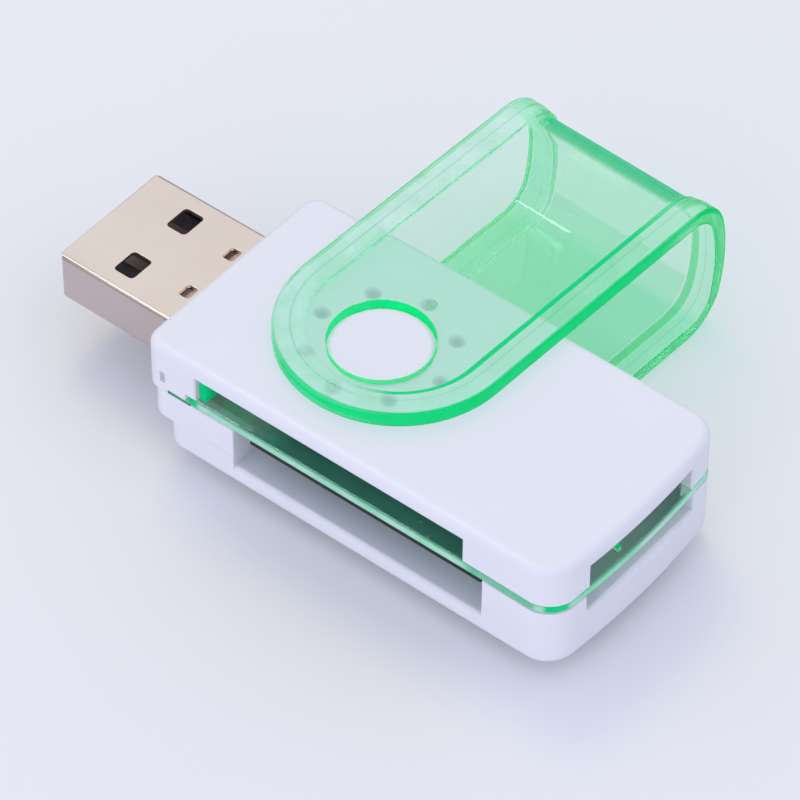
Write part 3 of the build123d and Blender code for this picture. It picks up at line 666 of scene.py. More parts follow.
@dataclass
class Body:
    """White shells, with their card slots, pivot bosses and detent dimples."""

    left: float = -15.3
    right: float = 25.4
    half_width: float = 10.4
    crown: float = 0.7
    far_corner: float = 2.7
    plug_corner: float = 1.6
    edge_round: float = 0.8
    bottom: float = 1.7
    floor_top: float = 3.5
    parting: float = 7.5
    plate_top: float = 8.4
    roof_under: float = 11.0
    top: float = 12.2
    wall: float = 1.2
    nose_step: float = 2.0
    nose_setback: float = 0.5
    nose_lip: float = 0.6
    plug_half_width: float = 6.0
    plug_half_height: float = 2.25
    fit: float = 0.05
    over: float = 1.0
    wide_slot: Point2 = (-10.0, 16.1)
    wide_slot_height: float = 2.4
    large_slot: Point2 = (-6.3, 18.0)
    slot_guide: float = 0.5
    lip_round: float = 0.5
    micro_slot_half: float = 6.3
    micro_slot_height: float = 2.3
    small_slot_half: float = 6.6
    small_slot_depth: float = 1.6
    board_under: float = 6.7
    plate_left: float = -11.0
    tongue_length: float = 1.8
    tongue_height: float = 0.3
    tongue_width: float = 0.8
    pry_notch: Point2 = (-13.6, -13.05)
    pry_notch_height: float = 1.1
    pry_notch_depth: float = 0.45
    boss_radius: float = 4.15
    boss_height: float = 0.65
    boss_round: float = 0.45
    detent_circle: float = 11.7
    detents: int = 8
    dimple_radius: float = 0.75
    dimple_depth: float = 0.25
    dimple_limit: float = 1.1
    dimple_steps: int = 40
    edge_soft: float = 0.18
    sharp: float = 50.0

    def outline(self, left: float, corner: float) -> list[tuple[Point2, Point2]]:
        """Plan of the body as points and outward normals.

        Args:
            left: Place of its plug end.
            corner: Radius of the two corners there.

        Returns:
            Point and normal pairs, round from the near far corner.
        """
        half = self.half_width
        bend = (half ** 2 + self.crown ** 2) / (2 * self.crown)
        middle = self.right - bend
        corner_y = half - self.far_corner
        corner_x = middle + math.sqrt((bend - self.far_corner) ** 2 - corner_y ** 2)
        lean = math.degrees(math.asin(corner_y / (bend - self.far_corner)))
        points = arc((corner_x, -corner_y), self.far_corner, -90, -lean, 10)
        points += arc((middle, 0.0), bend, -lean, lean, 11)[1:-1]
        points += arc((corner_x, corner_y), self.far_corner, lean, 90, 10)
        points += arc((left + corner, half - corner), corner, 90, 180, 8)
        points += arc((left + corner, corner - half), corner, 180, 270, 8)
        return points

    def prism(self, mesh: bmesh.types.BMesh, levels: Sequence[Point2], left: float, corner: float) -> None:
        """Add a capped form with the body's plan.

        Args:
            mesh: The mesh to add to.
            levels: Inset and height of each ring, from the bottom up.
            left: Place of its plug end.
            corner: Radius of the two corners there.
        """
        rings = []
        for inset, height in levels:
            rings.append([mesh.verts.new((point[0] - inset * normal[0], point[1] - inset * normal[1], height))
                          for point, normal in self.outline(left, corner)])
        cap_rings(mesh, rings)

    def add_boss(self, bench: Bench, shell: bpy.types.Object, level: float, way: int) -> None:
        """Add the pivot boss to a shell.

        Args:
            bench: Where the shell is put together.
            shell: The shell's object.
            level: Height of the face that the boss stands on.
            way: 1 for a boss that stands up, -1 for one that hangs down.
        """
        turned = [(self.boss_radius, -self.wall / 2)]
        turned += [(self.boss_radius - inset, self.boss_height - drop) for inset, drop in quarter(self.boss_round, 8)]
        boss = bmesh.new()
        lathe(boss, [(radius, level + way * height) for radius, height in turned], (0.0, 0.0))
        bench.carve(shell, boss, Carve.ADD)

    def plug_room(self, mesh: bmesh.types.BMesh) -> None:
        """Add the opening for the plug."""
        half = self.plug_half_width + self.fit
        rise = self.plug_half_height + self.fit
        box(mesh, (self.left - self.over, self.left + self.nose_setback + self.wall + self.over), (-half, half),
            (self.parting - rise, self.parting + rise))

    def near_side(self, depth: float) -> Point2:
        """Limits in Y of a cut from outside the near wall to a depth past its face."""
        return (-self.half_width - self.over, -self.half_width + depth)

    def outer_edges(self, bench: Bench, lefts: Sequence[float]) -> Callable[[bmesh.types.BMEdge], bool]:
        """Test for a sharp edge that lies on the walls' outer faces.

        Args:
            bench: Where the shell is put together.
            lefts: Places of the plug ends that the shell has.

        Returns:
            A function that says whether an edge is chosen.
        """
        plans = [self.outline(left, self.plug_corner) for left in lefts]

        def chosen(edge: bmesh.types.BMEdge) -> bool:
            if edge.calc_face_angle() < math.radians(self.sharp) or edge.calc_length() < 3 * self.edge_soft * MM:
                return False
            for plan in plans:
                ends = [bench.to_mm @ vertex.co for vertex in edge.verts]
                depths = [min((point[0] - end.x) * normal[0] + (point[1] - end.y) * normal[1]
                              for point, normal in plan) for end in ends]
                if max(depths) < self.fit / 2:
                    return True
            return False

        return chosen

    def build_top(self, bench: Bench) -> bpy.types.Object:
        """Make the upper shell.

        Args:
            bench: Where it is put together.

        Returns:
            The shell's object.
        """
        mesh = bmesh.new()
        rounded = [(inset, self.top - drop) for inset, drop in quarter(self.edge_round, 8)]
        self.prism(mesh, [(0.0, self.parting)] + rounded, self.left, self.plug_corner)
        shell = bench.mount(mesh, "upper_shell")
        tools = bmesh.new()
        self.prism(tools, [(self.wall, self.parting - self.over), (self.wall, self.roof_under)],
                   self.left + self.nose_setback, self.plug_corner)
        bench.carve(shell, tools, Carve.CUT)
        tools = bmesh.new()
        box(tools, (self.plate_left - self.fit, self.right + self.over),
            (-self.half_width - self.over, self.half_width + self.over), (self.parting - self.over, self.plate_top))
        box(tools, self.wide_slot, self.near_side(self.wall + self.over),
            (self.parting, self.plate_top + self.wide_slot_height))
        box(tools, (self.right - self.crown - self.wall - self.over, self.right + self.over),
            (-self.micro_slot_half, self.micro_slot_half), (self.parting, self.plate_top + self.micro_slot_height))
        self.plug_room(tools)
        bench.carve(shell, tools, Carve.CUT)
        bench.soften(shell, self.outer_edges(bench, [self.left]), self.edge_soft)
        tools = bmesh.new()
        box(tools, (self.plate_left - self.tongue_length - self.fit, self.plate_left),
            self.near_side(self.tongue_width + self.fit),
            (self.parting - self.over, self.parting + self.tongue_height + self.fit))
        box(tools, self.pry_notch, self.near_side(self.pry_notch_depth),
            (self.plate_top, self.plate_top + self.pry_notch_height))
        bench.carve(shell, tools, Carve.CUT)
        self.add_boss(bench, shell, self.top, 1)
        bench.carve(shell, self.dimples(), Carve.CUT)
        self.shade_dimples(bench, shell)
        return shell

    def shade_dimples(self, bench: Bench, shell: bpy.types.Object) -> None:
        """Note how deep each vertex lies in a dimple, as the share of painted shade there."""
        marks = shell.data.attributes.new(PAINTED_LIGHT_SHARE, "FLOAT", "POINT")
        for vertex, mark in zip(shell.data.vertices, marks.data):
            place = bench.to_mm @ vertex.co
            depth = (self.top - place.z) / self.dimple_depth
            if abs(place.xy.length - self.detent_circle / 2) < self.dimple_radius and 0 < depth < self.dimple_limit:
                mark.value = min(1.0, depth)

    def dimples(self) -> bmesh.types.BMesh:
        """Balls that press the ring of detent dimples."""
        mesh = bmesh.new()
        ball = (self.dimple_radius ** 2 + self.dimple_depth ** 2) / (2 * self.dimple_depth)
        for index in range(self.detents):
            angle = 2 * math.pi * index / self.detents
            reach = self.detent_circle / 2
            place = Matrix.Translation((reach * math.cos(angle), reach * math.sin(angle),
                                        self.top - self.dimple_depth + ball))
            bmesh.ops.create_uvsphere(mesh, u_segments=self.dimple_steps, v_segments=self.dimple_steps, radius=ball,
                                      matrix=place)
        return mesh

    def build_bottom(self, bench: Bench) -> bpy.types.Object:
        """Make the lower shell.

        Args:
            bench: Where it is put together.

        Returns:
            The shell's object.
        """
        plug_under = self.parting - self.plug_half_height
        nose = plug_under - self.nose_lip
        lefts = [self.left + self.nose_step, self.left + self.nose_setback]
        mesh = bmesh.new()
        rounded = [(inset, self.bottom + drop) for inset, drop in reversed(quarter(self.edge_round, 8))]
        self.prism(mesh, rounded + [(0.0, nose + self.fit)], lefts[0], self.plug_corner)
        shell = bench.mount(mesh, "lower_shell")
        upper = bmesh.new()
        self.prism(upper, [(0.0, nose), (0.0, self.parting)], lefts[1], self.plug_corner)
        bench.carve(shell, upper, Carve.ADD)
        for level, left in zip((self.floor_top, plug_under - self.fit), lefts):
            tools = bmesh.new()
            self.prism(tools, [(self.wall, level), (self.wall, self.parting + self.over)], left, self.plug_corner)
            bench.carve(shell, tools, Carve.CUT)
        tools = bmesh.new()
        inner = self.wall + self.over
        side_lip = self.lip(self.floor_top, inner)
        extrude(tools, [(side - self.half_width, level) for side, level in side_lip], self.large_slot,
                lambda along, side, level: (along, side, level))
        end_lip = self.lip(self.parting - self.small_slot_depth, inner + self.crown)
        extrude(tools, [(self.right - depth, level) for depth, level in end_lip],
                (-self.small_slot_half, self.small_slot_half), lambda along, side, level: (side, along, level))
        self.plug_room(tools)
        bench.carve(shell, tools, Carve.CUT)
        bench.soften(shell, self.outer_edges(bench, lefts), self.edge_soft)
        self.add_boss(bench, shell, self.bottom, -1)
        guides = bmesh.new()
        for x, y in self.guide_walls():
            box(guides, x, y, (self.floor_top - self.over, self.board_under))
        bench.carve(shell, guides, Carve.ADD)
        return shell

    def lip(self, level: float, inner: float) -> list[Point2]:
        """Section of a slot's cutter above a rounded lip.

        Args:
            level: Height of the slot's sill.
            inner: Depth that the cutter reaches behind the wall's face.

        Returns:
            Depth behind the face and height of each corner.
        """
        rounded = [(drop, level - inset) for drop, inset in quarter(self.lip_round, 6)][::-1]
        top = self.parting + self.over
        return [(inner, level)] + rounded + [(-self.over, level - self.lip_round), (-self.over, top), (inner, top)]

    def guide_walls(self) -> list[tuple[Point2, Point2]]:
        """Limits in X and Y of the walls that guide a large card."""
        edge = self.half_width - self.wall / 2
        gap = self.small_slot_half + self.slot_guide
        left, right = self.large_slot
        walls = [((left - self.slot_guide, left), (-edge, edge))]
        return walls + [((right, right + 2 * self.slot_guide), limits) for limits in ((-edge, -gap), (gap, edge))]

    def build(self, bench: Bench) -> None:
        """Make and dress both shells."""
        bench.finish(self.build_top(bench), Finish.WHITE_SHELL, "reader_body", "top_shell", "white_plastic")
        bench.finish(self.build_bottom(bench), Finish.WHITE_SHELL, "reader_body", "bottom_shell", "white_plastic")


@dataclass
class MiddlePlate:
    """Clear plate between the shells, its rounded edge showing all round."""

    body: Body
    edge_round: float = 0.36
    end_corner: float = 0.4
    notch_right: float = -7.0
    arm: float = 2.4
    end_stop: Point2 = (0.8, 1.4)
    end_stop_setback: float = 0.4
    end_stop_round: float = 0.15
    rib: tuple[float, float, float] = (8.0, 0.4, 0.5)
    rib_middle: float = -2.2
    row_clearance: float = 0.4
    # painted light on the plate: a painted highlight line between painted green glow, and green glow on corners, end
    # stop, rib and tongue
    border_glow_colour: Colour = (0.10, 0.46, 0.30)
    highlight_line_colour: Colour = (0.56, 0.93, 0.74)
    green_glow_colour: Colour = (0.0, 0.74, 0.27)
    edge_light_share: float = 0.88
    edge_fade: float = 4.0
    past_slot: float = 0.6
    line_half: float = 0.22
    green_end: float = 1.0
    tongue_glow_colour: Colour = (0.04, 0.20, 0.15)
    # grey on the top of the plate's arms, left of the first limit
    grey_top_colour: Colour = (0.17, 0.27, 0.21)
    grey_top_share: float = 0.8
    grey_top_limits: Point2 = (-5.4, -1.5)

    def build(self, bench: Bench) -> None:
        """Make and dress the plate.

        Args:
            bench: Where it is put together.
        """
        body = self.body
        low, high = body.parting, body.plate_top
        levels = [(inset, low + drop) for inset, drop in reversed(quarter(self.edge_round, 5))]
        levels += [(0.0, (low + high) / 2)]
        levels += [(inset, high - drop) for inset, drop in quarter(self.edge_round, 5)]
        mesh = light_painted_mesh()
        body.prism(mesh, levels, body.plate_left, self.end_corner)
        for x in self.paint_limits():
            bmesh.ops.bisect_plane(mesh, geom=[*mesh.verts, *mesh.edges, *mesh.faces], dist=body.fit / 100,
                                   plane_co=(x, 0.0, 0.0), plane_no=(1.0, 0.0, 0.0))
        self.paint_edge_light(mesh)
        plate = bench.mount(mesh, "clear_plate")
        tools = bmesh.new()
        reach = body.half_width - self.arm
        through = (low - body.over, high + body.over)
        box(tools, (body.plate_left - body.over, self.notch_right), (-reach, reach), through)
        for row in ("wide_card", "micro_card"):
            first, last = bench.span(row)
            limits = [(first[axis] - self.row_clearance, last[axis] + self.row_clearance) for axis in range(2)]
            box(tools, *limits, through)
        bench.carve(plate, tools, Carve.CUT)
        extras = bmesh.new()
        near = self.end_stop_setback - body.half_width
        left = body.wide_slot[0]
        box(extras, (left, left + self.end_stop[0]), (near, near + self.end_stop[1]),
            (high - body.fit, high + body.wide_slot_height - body.fit))
        bmesh.ops.bevel(extras, geom=extras.edges, offset=self.end_stop_round, segments=3, profile=0.5,
                        affect="EDGES")
        bench.carve(plate, extras, Carve.ADD)
        extras = bmesh.new()
        end = body.right - body.crown
        length, width, rise = self.rib
        box(extras, (end - length, end), (self.rib_middle - width / 2, self.rib_middle + width / 2),
            (high - body.fit, high + rise))
        box(extras, (body.plate_left - body.tongue_length, body.plate_left + self.end_corner),
            (-body.half_width, body.tongue_width - body.half_width), (low, low + body.tongue_height))
        bench.carve(plate, extras, Carve.ADD)
        self.paint_added_parts(bench, plate)
        bench.finish(plate, Finish.CLEAR_PLATE, "reader_body", "middle_plate", "clear_green_plate", crease=50.0)

    def paint_limits(self) -> list[float]:
        """Places along the body where the plate's painted light and its grey top change."""
        left, right = self.body.plate_left + self.green_end, self.body.wide_slot[1]
        return [left, left + self.end_corner, *self.grey_top_limits, right, right + 1]

    def paint_edge_light(self, mesh: bmesh.types.BMesh) -> None:
        """Painted highlight: a pale line along the rim between painted green glow, greener past the slot, all green
        glow at the corners.
        """
        body = self.body
        half = (body.plate_top - body.parting) / 2
        limits = self.paint_limits()
        for vertex in mesh.verts:
            height = abs(vertex.co.z - body.parting - half)
            reach = Vector((body.right - vertex.co.x, body.half_width - abs(vertex.co.y)))
            border = clamp(height / self.line_half - 1)
            if vertex.co.x > limits[-1] - body.fit and reach.y < body.wall and reach.x > body.far_corner:
                border = self.past_slot
            colour = mixed(self.highlight_line_colour, self.border_glow_colour, border)
            far = abs(reach.x - reach.y) < body.far_corner / 2 and max(reach) < body.far_corner
            if far or vertex.co.x < limits[0] + body.fit:
                colour = self.green_glow_colour
            tint(mesh, [vertex], colour, self.edge_light_share * clamp(self.edge_fade * (half - height) / half))

    def paint_added_parts(self, bench: Bench, plate: bpy.types.Object) -> None:
        """Grey the top of the plate's arms, and paint green glow on its end stop, rib and tongue."""
        body = self.body
        notes = plate.data.attributes
        for vertex, share, colour in zip(plate.data.vertices, notes[PAINTED_LIGHT_SHARE].data, notes[PAINTED_LIGHT_COLOUR].data):
            place = bench.to_mm @ vertex.co
            if place.x < body.plate_left - body.fit:
                share.value, colour.color = self.edge_light_share, rgba(self.tongue_glow_colour)
            elif place.z > body.plate_top + body.fit:
                share.value, colour.color = self.edge_light_share, rgba(self.green_glow_colour)
            elif place.z > body.plate_top - body.fit / 10 and place.x < self.grey_top_limits[0] + body.fit:
                share.value, colour.color = self.grey_top_share, rgba(self.grey_top_colour)


@dataclass
class Plug:
    """Folded metal shell of the plug: a tube with windows, key slots, a seam below and two tabs."""

    tip: float = -27.9
    rear: float = -12.4
    half_width: float = 6.0
    half_height: float = 2.25
    middle: float = 7.5
    sheet: float = 0.3
    fold: float = 0.35
    tip_chamfer: float = 0.4
    tip_soft: float = 0.1
    seam: float = 0.12
    window_x: Point2 = (4.35, 6.3)
    window_width: float = 2.5
    window_spacing: float = 6.3
    window_corner: float = 0.35
    key_x: Point2 = (10.1, 11.1)
    key_width: float = 1.3
    key_spacing: float = 5.3
    key_corner: float = 0.25
    lip_drop: float = 0.45
    lip_sink: float = 0.25
    lip_sheet: float = 0.2
    tab_length: float = 2.5
    tab_drop: float = 1.4
    tab_rise: float = 0.5
    hole_soft: float = 0.06
    sharp: float = 60.0

    def ring(self, mesh: bmesh.types.BMesh, x: float, inset: float) -> list[bmesh.types.BMVert]:
        """Vertices round the tube's section at a place along it and an inset."""
        corner = max(self.fold - inset, self.sheet / 2)
        plan = rounded_plan((-self.half_width + inset, self.half_width - inset),
                            (-self.half_height + inset, self.half_height - inset), corner)
        return [mesh.verts.new((x, y, self.middle + z)) for y, z in plan]

    def build(self, bench: Bench) -> None:
        """Make and dress the plug's shell.

        Args:
            bench: Where it is put together.
        """
        mesh = bmesh.new()
        tip = [(self.tip + drop, inset) for inset, drop in reversed(quarter(self.tip_soft, 3))]
        rings = [self.ring(mesh, x, inset) for x, inset in tip]
        rings += [self.ring(mesh, self.rear, 0.0), self.ring(mesh, self.rear, self.sheet)]
        rings += [self.ring(mesh, self.tip + drop, self.sheet - inset) for inset, drop in quarter(self.tip_soft, 3)]
        join_rings(mesh, rings + rings[:1])
        shell = bench.mount(mesh, "plug_shell")
        tools = bmesh.new()
        for side in (-1, 1):
            self.holes(tools, side)
        box(tools, (self.tip - self.sheet, self.rear + self.sheet), (-self.seam / 2, self.seam / 2),
            (self.middle - self.half_height - self.sheet, self.middle - self.half_height + 2 * self.sheet))
        bench.carve(shell, tools, Carve.CUT)

        def chosen(edge: bmesh.types.BMEdge) -> bool:
            levels = [abs((bench.to_mm @ vertex.co).z - self.middle) for vertex in edge.verts]
            return (min(levels) > self.half_height - self.seam / 4 and edge.calc_face_angle() > math.radians(self.sharp)
                    and edge.calc_length() > self.hole_soft * MM)

        bench.soften(shell, chosen, self.hole_soft, 2)
        extras = bmesh.new()
        for side in (-1, 1):
            self.tabs(extras, side)
        bench.carve(shell, extras, Carve.ADD)
        bench.finish(shell, Finish.PLUG_METAL, "reader_body", "usb_shell", "plug_metal", crease=50.0)

    def holes(self, mesh: bmesh.types.BMesh, side: int) -> None:
        """Add the cutters of one side: window, key slot and the tip's corner."""
        heights = (self.middle - 2 * self.half_height, self.middle + 2 * self.half_height)
        for x, width, spacing, corner, levels in (
                (self.window_x, self.window_width, self.window_spacing, self.window_corner, heights),
                (self.key_x, self.key_width, self.key_spacing, self.key_corner, (self.middle, heights[1]))):
            centre = side * spacing / 2
            plan = rounded_plan((self.tip + x[0], self.tip + x[1]), (centre - width / 2, centre + width / 2), corner)
            cap_rings(mesh, [[mesh.verts.new((*point, level)) for point in plan] for level in levels])
        turn = Matrix.Translation((self.tip, side * self.half_width, self.middle)) @ Matrix.Rotation(
            math.radians(-45 * side), 4, "Z")
        size = Matrix.Diagonal((self.tip_chamfer * math.sqrt(2), self.tip_chamfer * 4, self.half_height * 4, 1.0))
        bmesh.ops.create_cube(mesh, size=1.0, matrix=turn @ size)

    def tabs(self, mesh: bmesh.types.BMesh, side: int) -> None:
        """Add one side's board tab and the sprung lip in its key slot."""
        outer = side * self.half_width
        inner = outer - side * self.sheet
        box(mesh, (self.rear - self.sheet, self.rear + self.tab_length), (min(outer, inner), max(outer, inner)),
            (self.middle - self.tab_drop, self.middle + self.tab_rise))
        length = self.key_x[1] - self.key_x[0]
        centre = Vector((self.tip + sum(self.key_x) / 2, side * self.key_spacing / 2,
                         self.middle + self.half_height - self.lip_sink - self.lip_drop / 2))
        slope = Matrix.Translation(centre) @ Matrix.Rotation(-math.atan2(self.lip_drop, length), 4, "Y")
        size = Matrix.Diagonal((length + self.sheet, self.key_width + self.seam, self.lip_sheet, 1.0))
        bmesh.ops.create_cube(mesh, size=1.0, matrix=slope @ size)


@dataclass
class SwivelCover:
    """Clear U that turns on the bosses: a round-ended strip with a sunk panel, bent round the body."""

    turn: float = -2.5
    half_width: float = 9.8
    round_end: float = 2.0
    height: float = 13.9
    thickness: float = 1.45
    recess: float = 0.45
    band: float = 1.45
    bevel: float = 1.25
    step: float = 0.2
    slope_drop: float = 0.18
    line: float = 0.32
    soft: float = 0.06
    # Painted light on the cover's edge, stronger on the sides turned towards the camera: painted green glow on the rim,
    # wall, foot line, hole and bends
    rim_glow_colour: Colour = (0.0, 0.76, 0.25)
    rim_glow_share: Point2 = (0.1, 0.8)
    bight_share: float = 0.85
    wall_share: float = 0.3
    # painted contact shadow under the rim
    lip_shadow_colour: Colour = (0.0, 0.20, 0.13)
    # painted pale sheen on the band and the bight, and a painted highlight at the foot line's pale end
    band_sheen_colour: Colour = (0.80, 0.95, 0.91)
    bight_sheen_colour: Colour = (0.50, 0.94, 0.77)
    band_sheen_share: Point2 = (0.48, 0.2)
    foot_glow_colour: Colour = (0.0, 0.74, 0.25)
    foot_highlight_colour: Colour = (0.78, 0.96, 0.90)
    foot_share: Point2 = (0.35, 0.95)
    foot_turn: Point2 = (0.1, 0.6)
    foot_fade: float = 2 / 3
    # painted shade along the band's crease
    crease_shade_colour: Colour = (0.30, 0.60, 0.48)
    crease_shade_share: float = 0.3
    hole_glow_colour: Colour = (0.0, 0.95, 0.28)
    hole_glow_share: float = 0.85
    bend_glow_colour: Colour = (0.0, 0.62, 0.30)
    bend_glow_share: float = 0.7
    under_glow_colour: Colour = (0.0, 0.82, 0.42)
    under_glow_share: float = 0.26
    photo_side: Point2 = (0.625, 0.78)
    corner: float = 4.2
    bulge: float = 16.0
    outer_round: float = 0.35
    inner_round: float = 0.2
    hole_radius: float = 4.23
    hole_round: float = 0.12
    detent_circle: float = 11.7
    nub_radius: float = 0.45
    nub_height: float = 0.15
    nub_steps: int = 24
    end_steps: int = 48
    corner_rows: int = 16
    bulge_rows: int = 10
    columns: int = 8
    arm_rows: tuple[float, ...] = (4.5, 7.0, 10.0, 14.0, 18.0, 22.0)
    cut_row: int = 1

    def measure(self, bench: Bench) -> None:
        """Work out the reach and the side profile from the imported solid."""
        axis = Matrix.Rotation(math.radians(self.turn), 3, "Z") @ Vector((0.0, 1.0, 0.0))
        pivot = bench.to_frame.translation
        solid = bench.frame["nodes"]["swivel_cover"].data
        self.reach = max((vertex.co - pivot).dot(axis) for vertex in solid.vertices) / MM
        self.lean = math.asin((self.height / 2 - self.corner) / (self.bulge - self.corner))
        self.corner_y = self.reach - self.bulge + (self.bulge - self.corner) * math.cos(self.lean)
        self.tip = self.round_end - self.half_width
        self.arm = self.corner_y - self.tip
        self.corner_run = self.corner * (math.pi / 2 - self.lean)
        self.bulge_run = 2 * self.bulge * self.lean
        self.run = 2 * self.arm + 2 * self.corner_run + self.bulge_run

    def bend(self, x: float, along: float, lift: float) -> Vector:
        """Place of a point of the flat strip once it is bent.

        Args:
            x: Distance from the middle line.
            along: Distance along the outer face from the upper round end.
            lift: Height above the outer face.

        Returns:
            The point in the cover's own frame.
        """
        lower = along > self.run / 2
        along = self.run - along if lower else along
        if along <= self.arm:
            y, z = self.tip + along, self.height + lift
        elif along <= self.arm + self.corner_run:
            angle = math.pi / 2 - (along - self.arm) / self.corner
            y = self.corner_y + (self.corner + lift) * math.cos(angle)
            z = self.height - self.corner + (self.corner + lift) * math.sin(angle)
        else:
            angle = self.lean - (along - self.arm - self.corner_run) / self.bulge
            y = self.reach - self.bulge + (self.bulge + lift) * math.cos(angle)
            z = self.height / 2 + (self.bulge + lift) * math.sin(angle)
        return Vector((x, y, self.height - z if lower else z))

    def rows(self) -> list[float]:
        """Places along the strip between its two round ends where the mesh has a row."""
        first = [self.half_width] + [row - self.tip for row in self.arm_rows] + [self.arm]
        first += [self.arm + self.corner_run * index / self.corner_rows for index in range(1, self.corner_rows + 1)]
        bulge = self.arm + self.corner_run
        first += [bulge + self.bulge_run * index / self.bulge_rows for index in range(1, self.bulge_rows // 2)]
        return first + [self.run / 2] + [self.run - row for row in reversed(first)]

    def section(self) -> list[tuple[float, float, Zone]]:
        """Section round the strip's edge, from the sunk panel over the band to the inner face.

        Returns:
            Inset, lift and zone of each ring.
        """
        foot = self.band + self.bevel
        brow = foot - self.step
        fall = self.slope_drop / (brow - self.band)
        soft = self.soft
        points = [(foot + 5 * soft, -self.recess, Zone.PLAIN), (foot + 2 * soft, -self.recess, Zone.PLAIN),
                  (foot + soft / 3, soft / 3 - self.recess, Zone.FOOT),
                  (foot - soft, 2 * soft - self.recess, Zone.FOOT),
                  (brow + soft, -soft - self.slope_drop, Zone.FOOT), (brow, -self.slope_drop, Zone.FOOT),
                  (brow - self.line, fall * self.line - self.slope_drop, Zone.FOOT),
                  (brow - self.line - soft, fall * (self.line + soft) - self.slope_drop, Zone.BAND)]
        points += [(self.band + 1.5 * soft, -1.5 * fall * soft, Zone.BAND),
                   (self.band + soft / 2, -fall * soft / 2, Zone.CREASE), (self.band - soft / 2, 0.0, Zone.CREASE),
                   (self.band - 1.5 * soft, 0.0, Zone.BAND), (self.outer_round + soft, 0.0, Zone.BAND)]
        points += [(inset, -drop, Zone.RIM if inset < self.outer_round / 2 else Zone.BAND)
                   for inset, drop in quarter(self.outer_round, 6)[::-1]]
        edge = self.outer_round + 2 * soft
        points += [(0.0, -edge, Zone.WALL), (0.0, edge - self.thickness, Zone.WALL)]
        under = [(inset, drop - self.thickness) for inset, drop in quarter(self.inner_round, 4)]
        zones = (Zone.RIM, Zone.LIP, Zone.LIP, Zone.PLAIN, Zone.PLAIN)
        points += [(*place, zone) for place, zone in zip(under, zones)]
        return points + [(foot + 5 * soft, -self.thickness, Zone.PLAIN)]

    def glow(self, zone: Zone, across: float, along: float) -> tuple[Colour, float]:
        """Colour and share of the painted glow, highlight and shadow at a place of the edge.

        Args:
            zone: Part of the section.
            across: Outward normal's part along X, from -1 on the left side to 1 on the right.
            along: Distance along the strip from the upper round end.

        Returns:
            The colour and the share.
        """
        fade = 1 - clamp(1 + (along - self.arm) / self.corner)
        if zone in (Zone.RIM, Zone.WALL, Zone.LIP):
            facing = self.photo_side[0] * across + self.photo_side[1] * math.sqrt(max(0.0, 1 - across ** 2))
            share = between(self.rim_glow_share, clamp(2 * facing))
            if zone is Zone.WALL:
                return mixed(self.bight_sheen_colour, self.rim_glow_colour, fade), between((self.wall_share, share), fade)
            # painted shadow under the rim
            if zone is Zone.LIP:
                return self.lip_shadow_colour, share * fade
            return self.rim_glow_colour, share * between((self.bight_share, 1.0), fade)
        if zone is Zone.FOOT:
            first, last = self.foot_turn
            right = clamp((across - first) / (last - first))
            share = between(self.foot_share, right) * between((self.foot_fade, 1.0), fade)
            return mixed(self.foot_highlight_colour, self.foot_glow_colour, right), share
        if zone is Zone.BAND:
            into = clamp((along - self.arm) / self.corner_run)
            return mixed(self.band_sheen_colour, self.bight_sheen_colour, into), between(self.band_sheen_share, (across + 1) / 2)
        return self.crease_shade_colour, self.crease_shade_share if zone is Zone.CREASE else 0.0

    def ring(self, inset: float) -> list[Point2]:
        """Closed line at an inset from the strip's edge, from the upper end's left side."""
        half = self.half_width - inset
        ends = [math.pi * index / self.end_steps for index in range(self.end_steps + 1)]
        middle = self.rows()[1:-1]
        points = [(-half * math.cos(angle), self.half_width - half * math.sin(angle)) for angle in ends]
        points += [(half, row) for row in middle]
        points += [(half * math.cos(angle), self.run - self.half_width + half * math.sin(angle)) for angle in ends]
        return points + [(-half, row) for row in reversed(middle)]

    def panel(self, mesh: bmesh.types.BMesh, ring: list[bmesh.types.BMVert], lift: float) -> list[list]:
        """Fill the inside of a ring, leaving a patch round each pivot hole.

        Args:
            mesh: The mesh to add to.
            ring: The vertices of the ring, as SwivelCover.ring orders them.
            lift: Height of the panel above the outer face.

        Returns:
            The closed loop of vertices round each patch, the upper one first.
        """
        rows = self.rows()[1:-1]
        count, ends = len(rows), self.end_steps + 1
        right = ring[ends:ends + count]
        left = list(reversed(ring[2 * ends + count:]))
        half = abs(self.ring(self.section()[0][0])[0][0])
        grid = {}
        cut, last = self.cut_row, count - 1 - self.cut_row
        for row in range(cut, last + 1):
            inner = [mesh.verts.new(self.bend(half * (2 * column / self.columns - 1), rows[row], lift))
                     for column in range(1, self.columns)]
            grid[row] = [left[row]] + inner + [right[row]]
            into = (rows[row] - self.arm) / self.corner_run
            # painted green glow along the bends and on the lower arm
            if lift > -self.thickness and 0 < into < 1:
                tint(mesh, grid[row], self.bend_glow_colour, self.bend_glow_share * math.sin(math.pi * into))
            elif lift > -self.thickness and rows[row] > self.run - self.arm - self.corner_run:
                tint(mesh, grid[row], self.under_glow_colour, self.under_glow_share)
        for row in range(cut, last):
            for low, high in zip(zip(grid[row], grid[row + 1]), zip(grid[row][1:], grid[row + 1][1:])):
                mesh.faces.new((low[0], high[0], high[1], low[1]))
        upper = list(reversed(left[:cut])) + ring[:ends] + right[:cut] + list(reversed(grid[cut]))
        lower = right[last + 1:] + ring[ends + count:2 * ends + count] + list(reversed(left[last + 1:])) + grid[last]
        return [upper, lower]

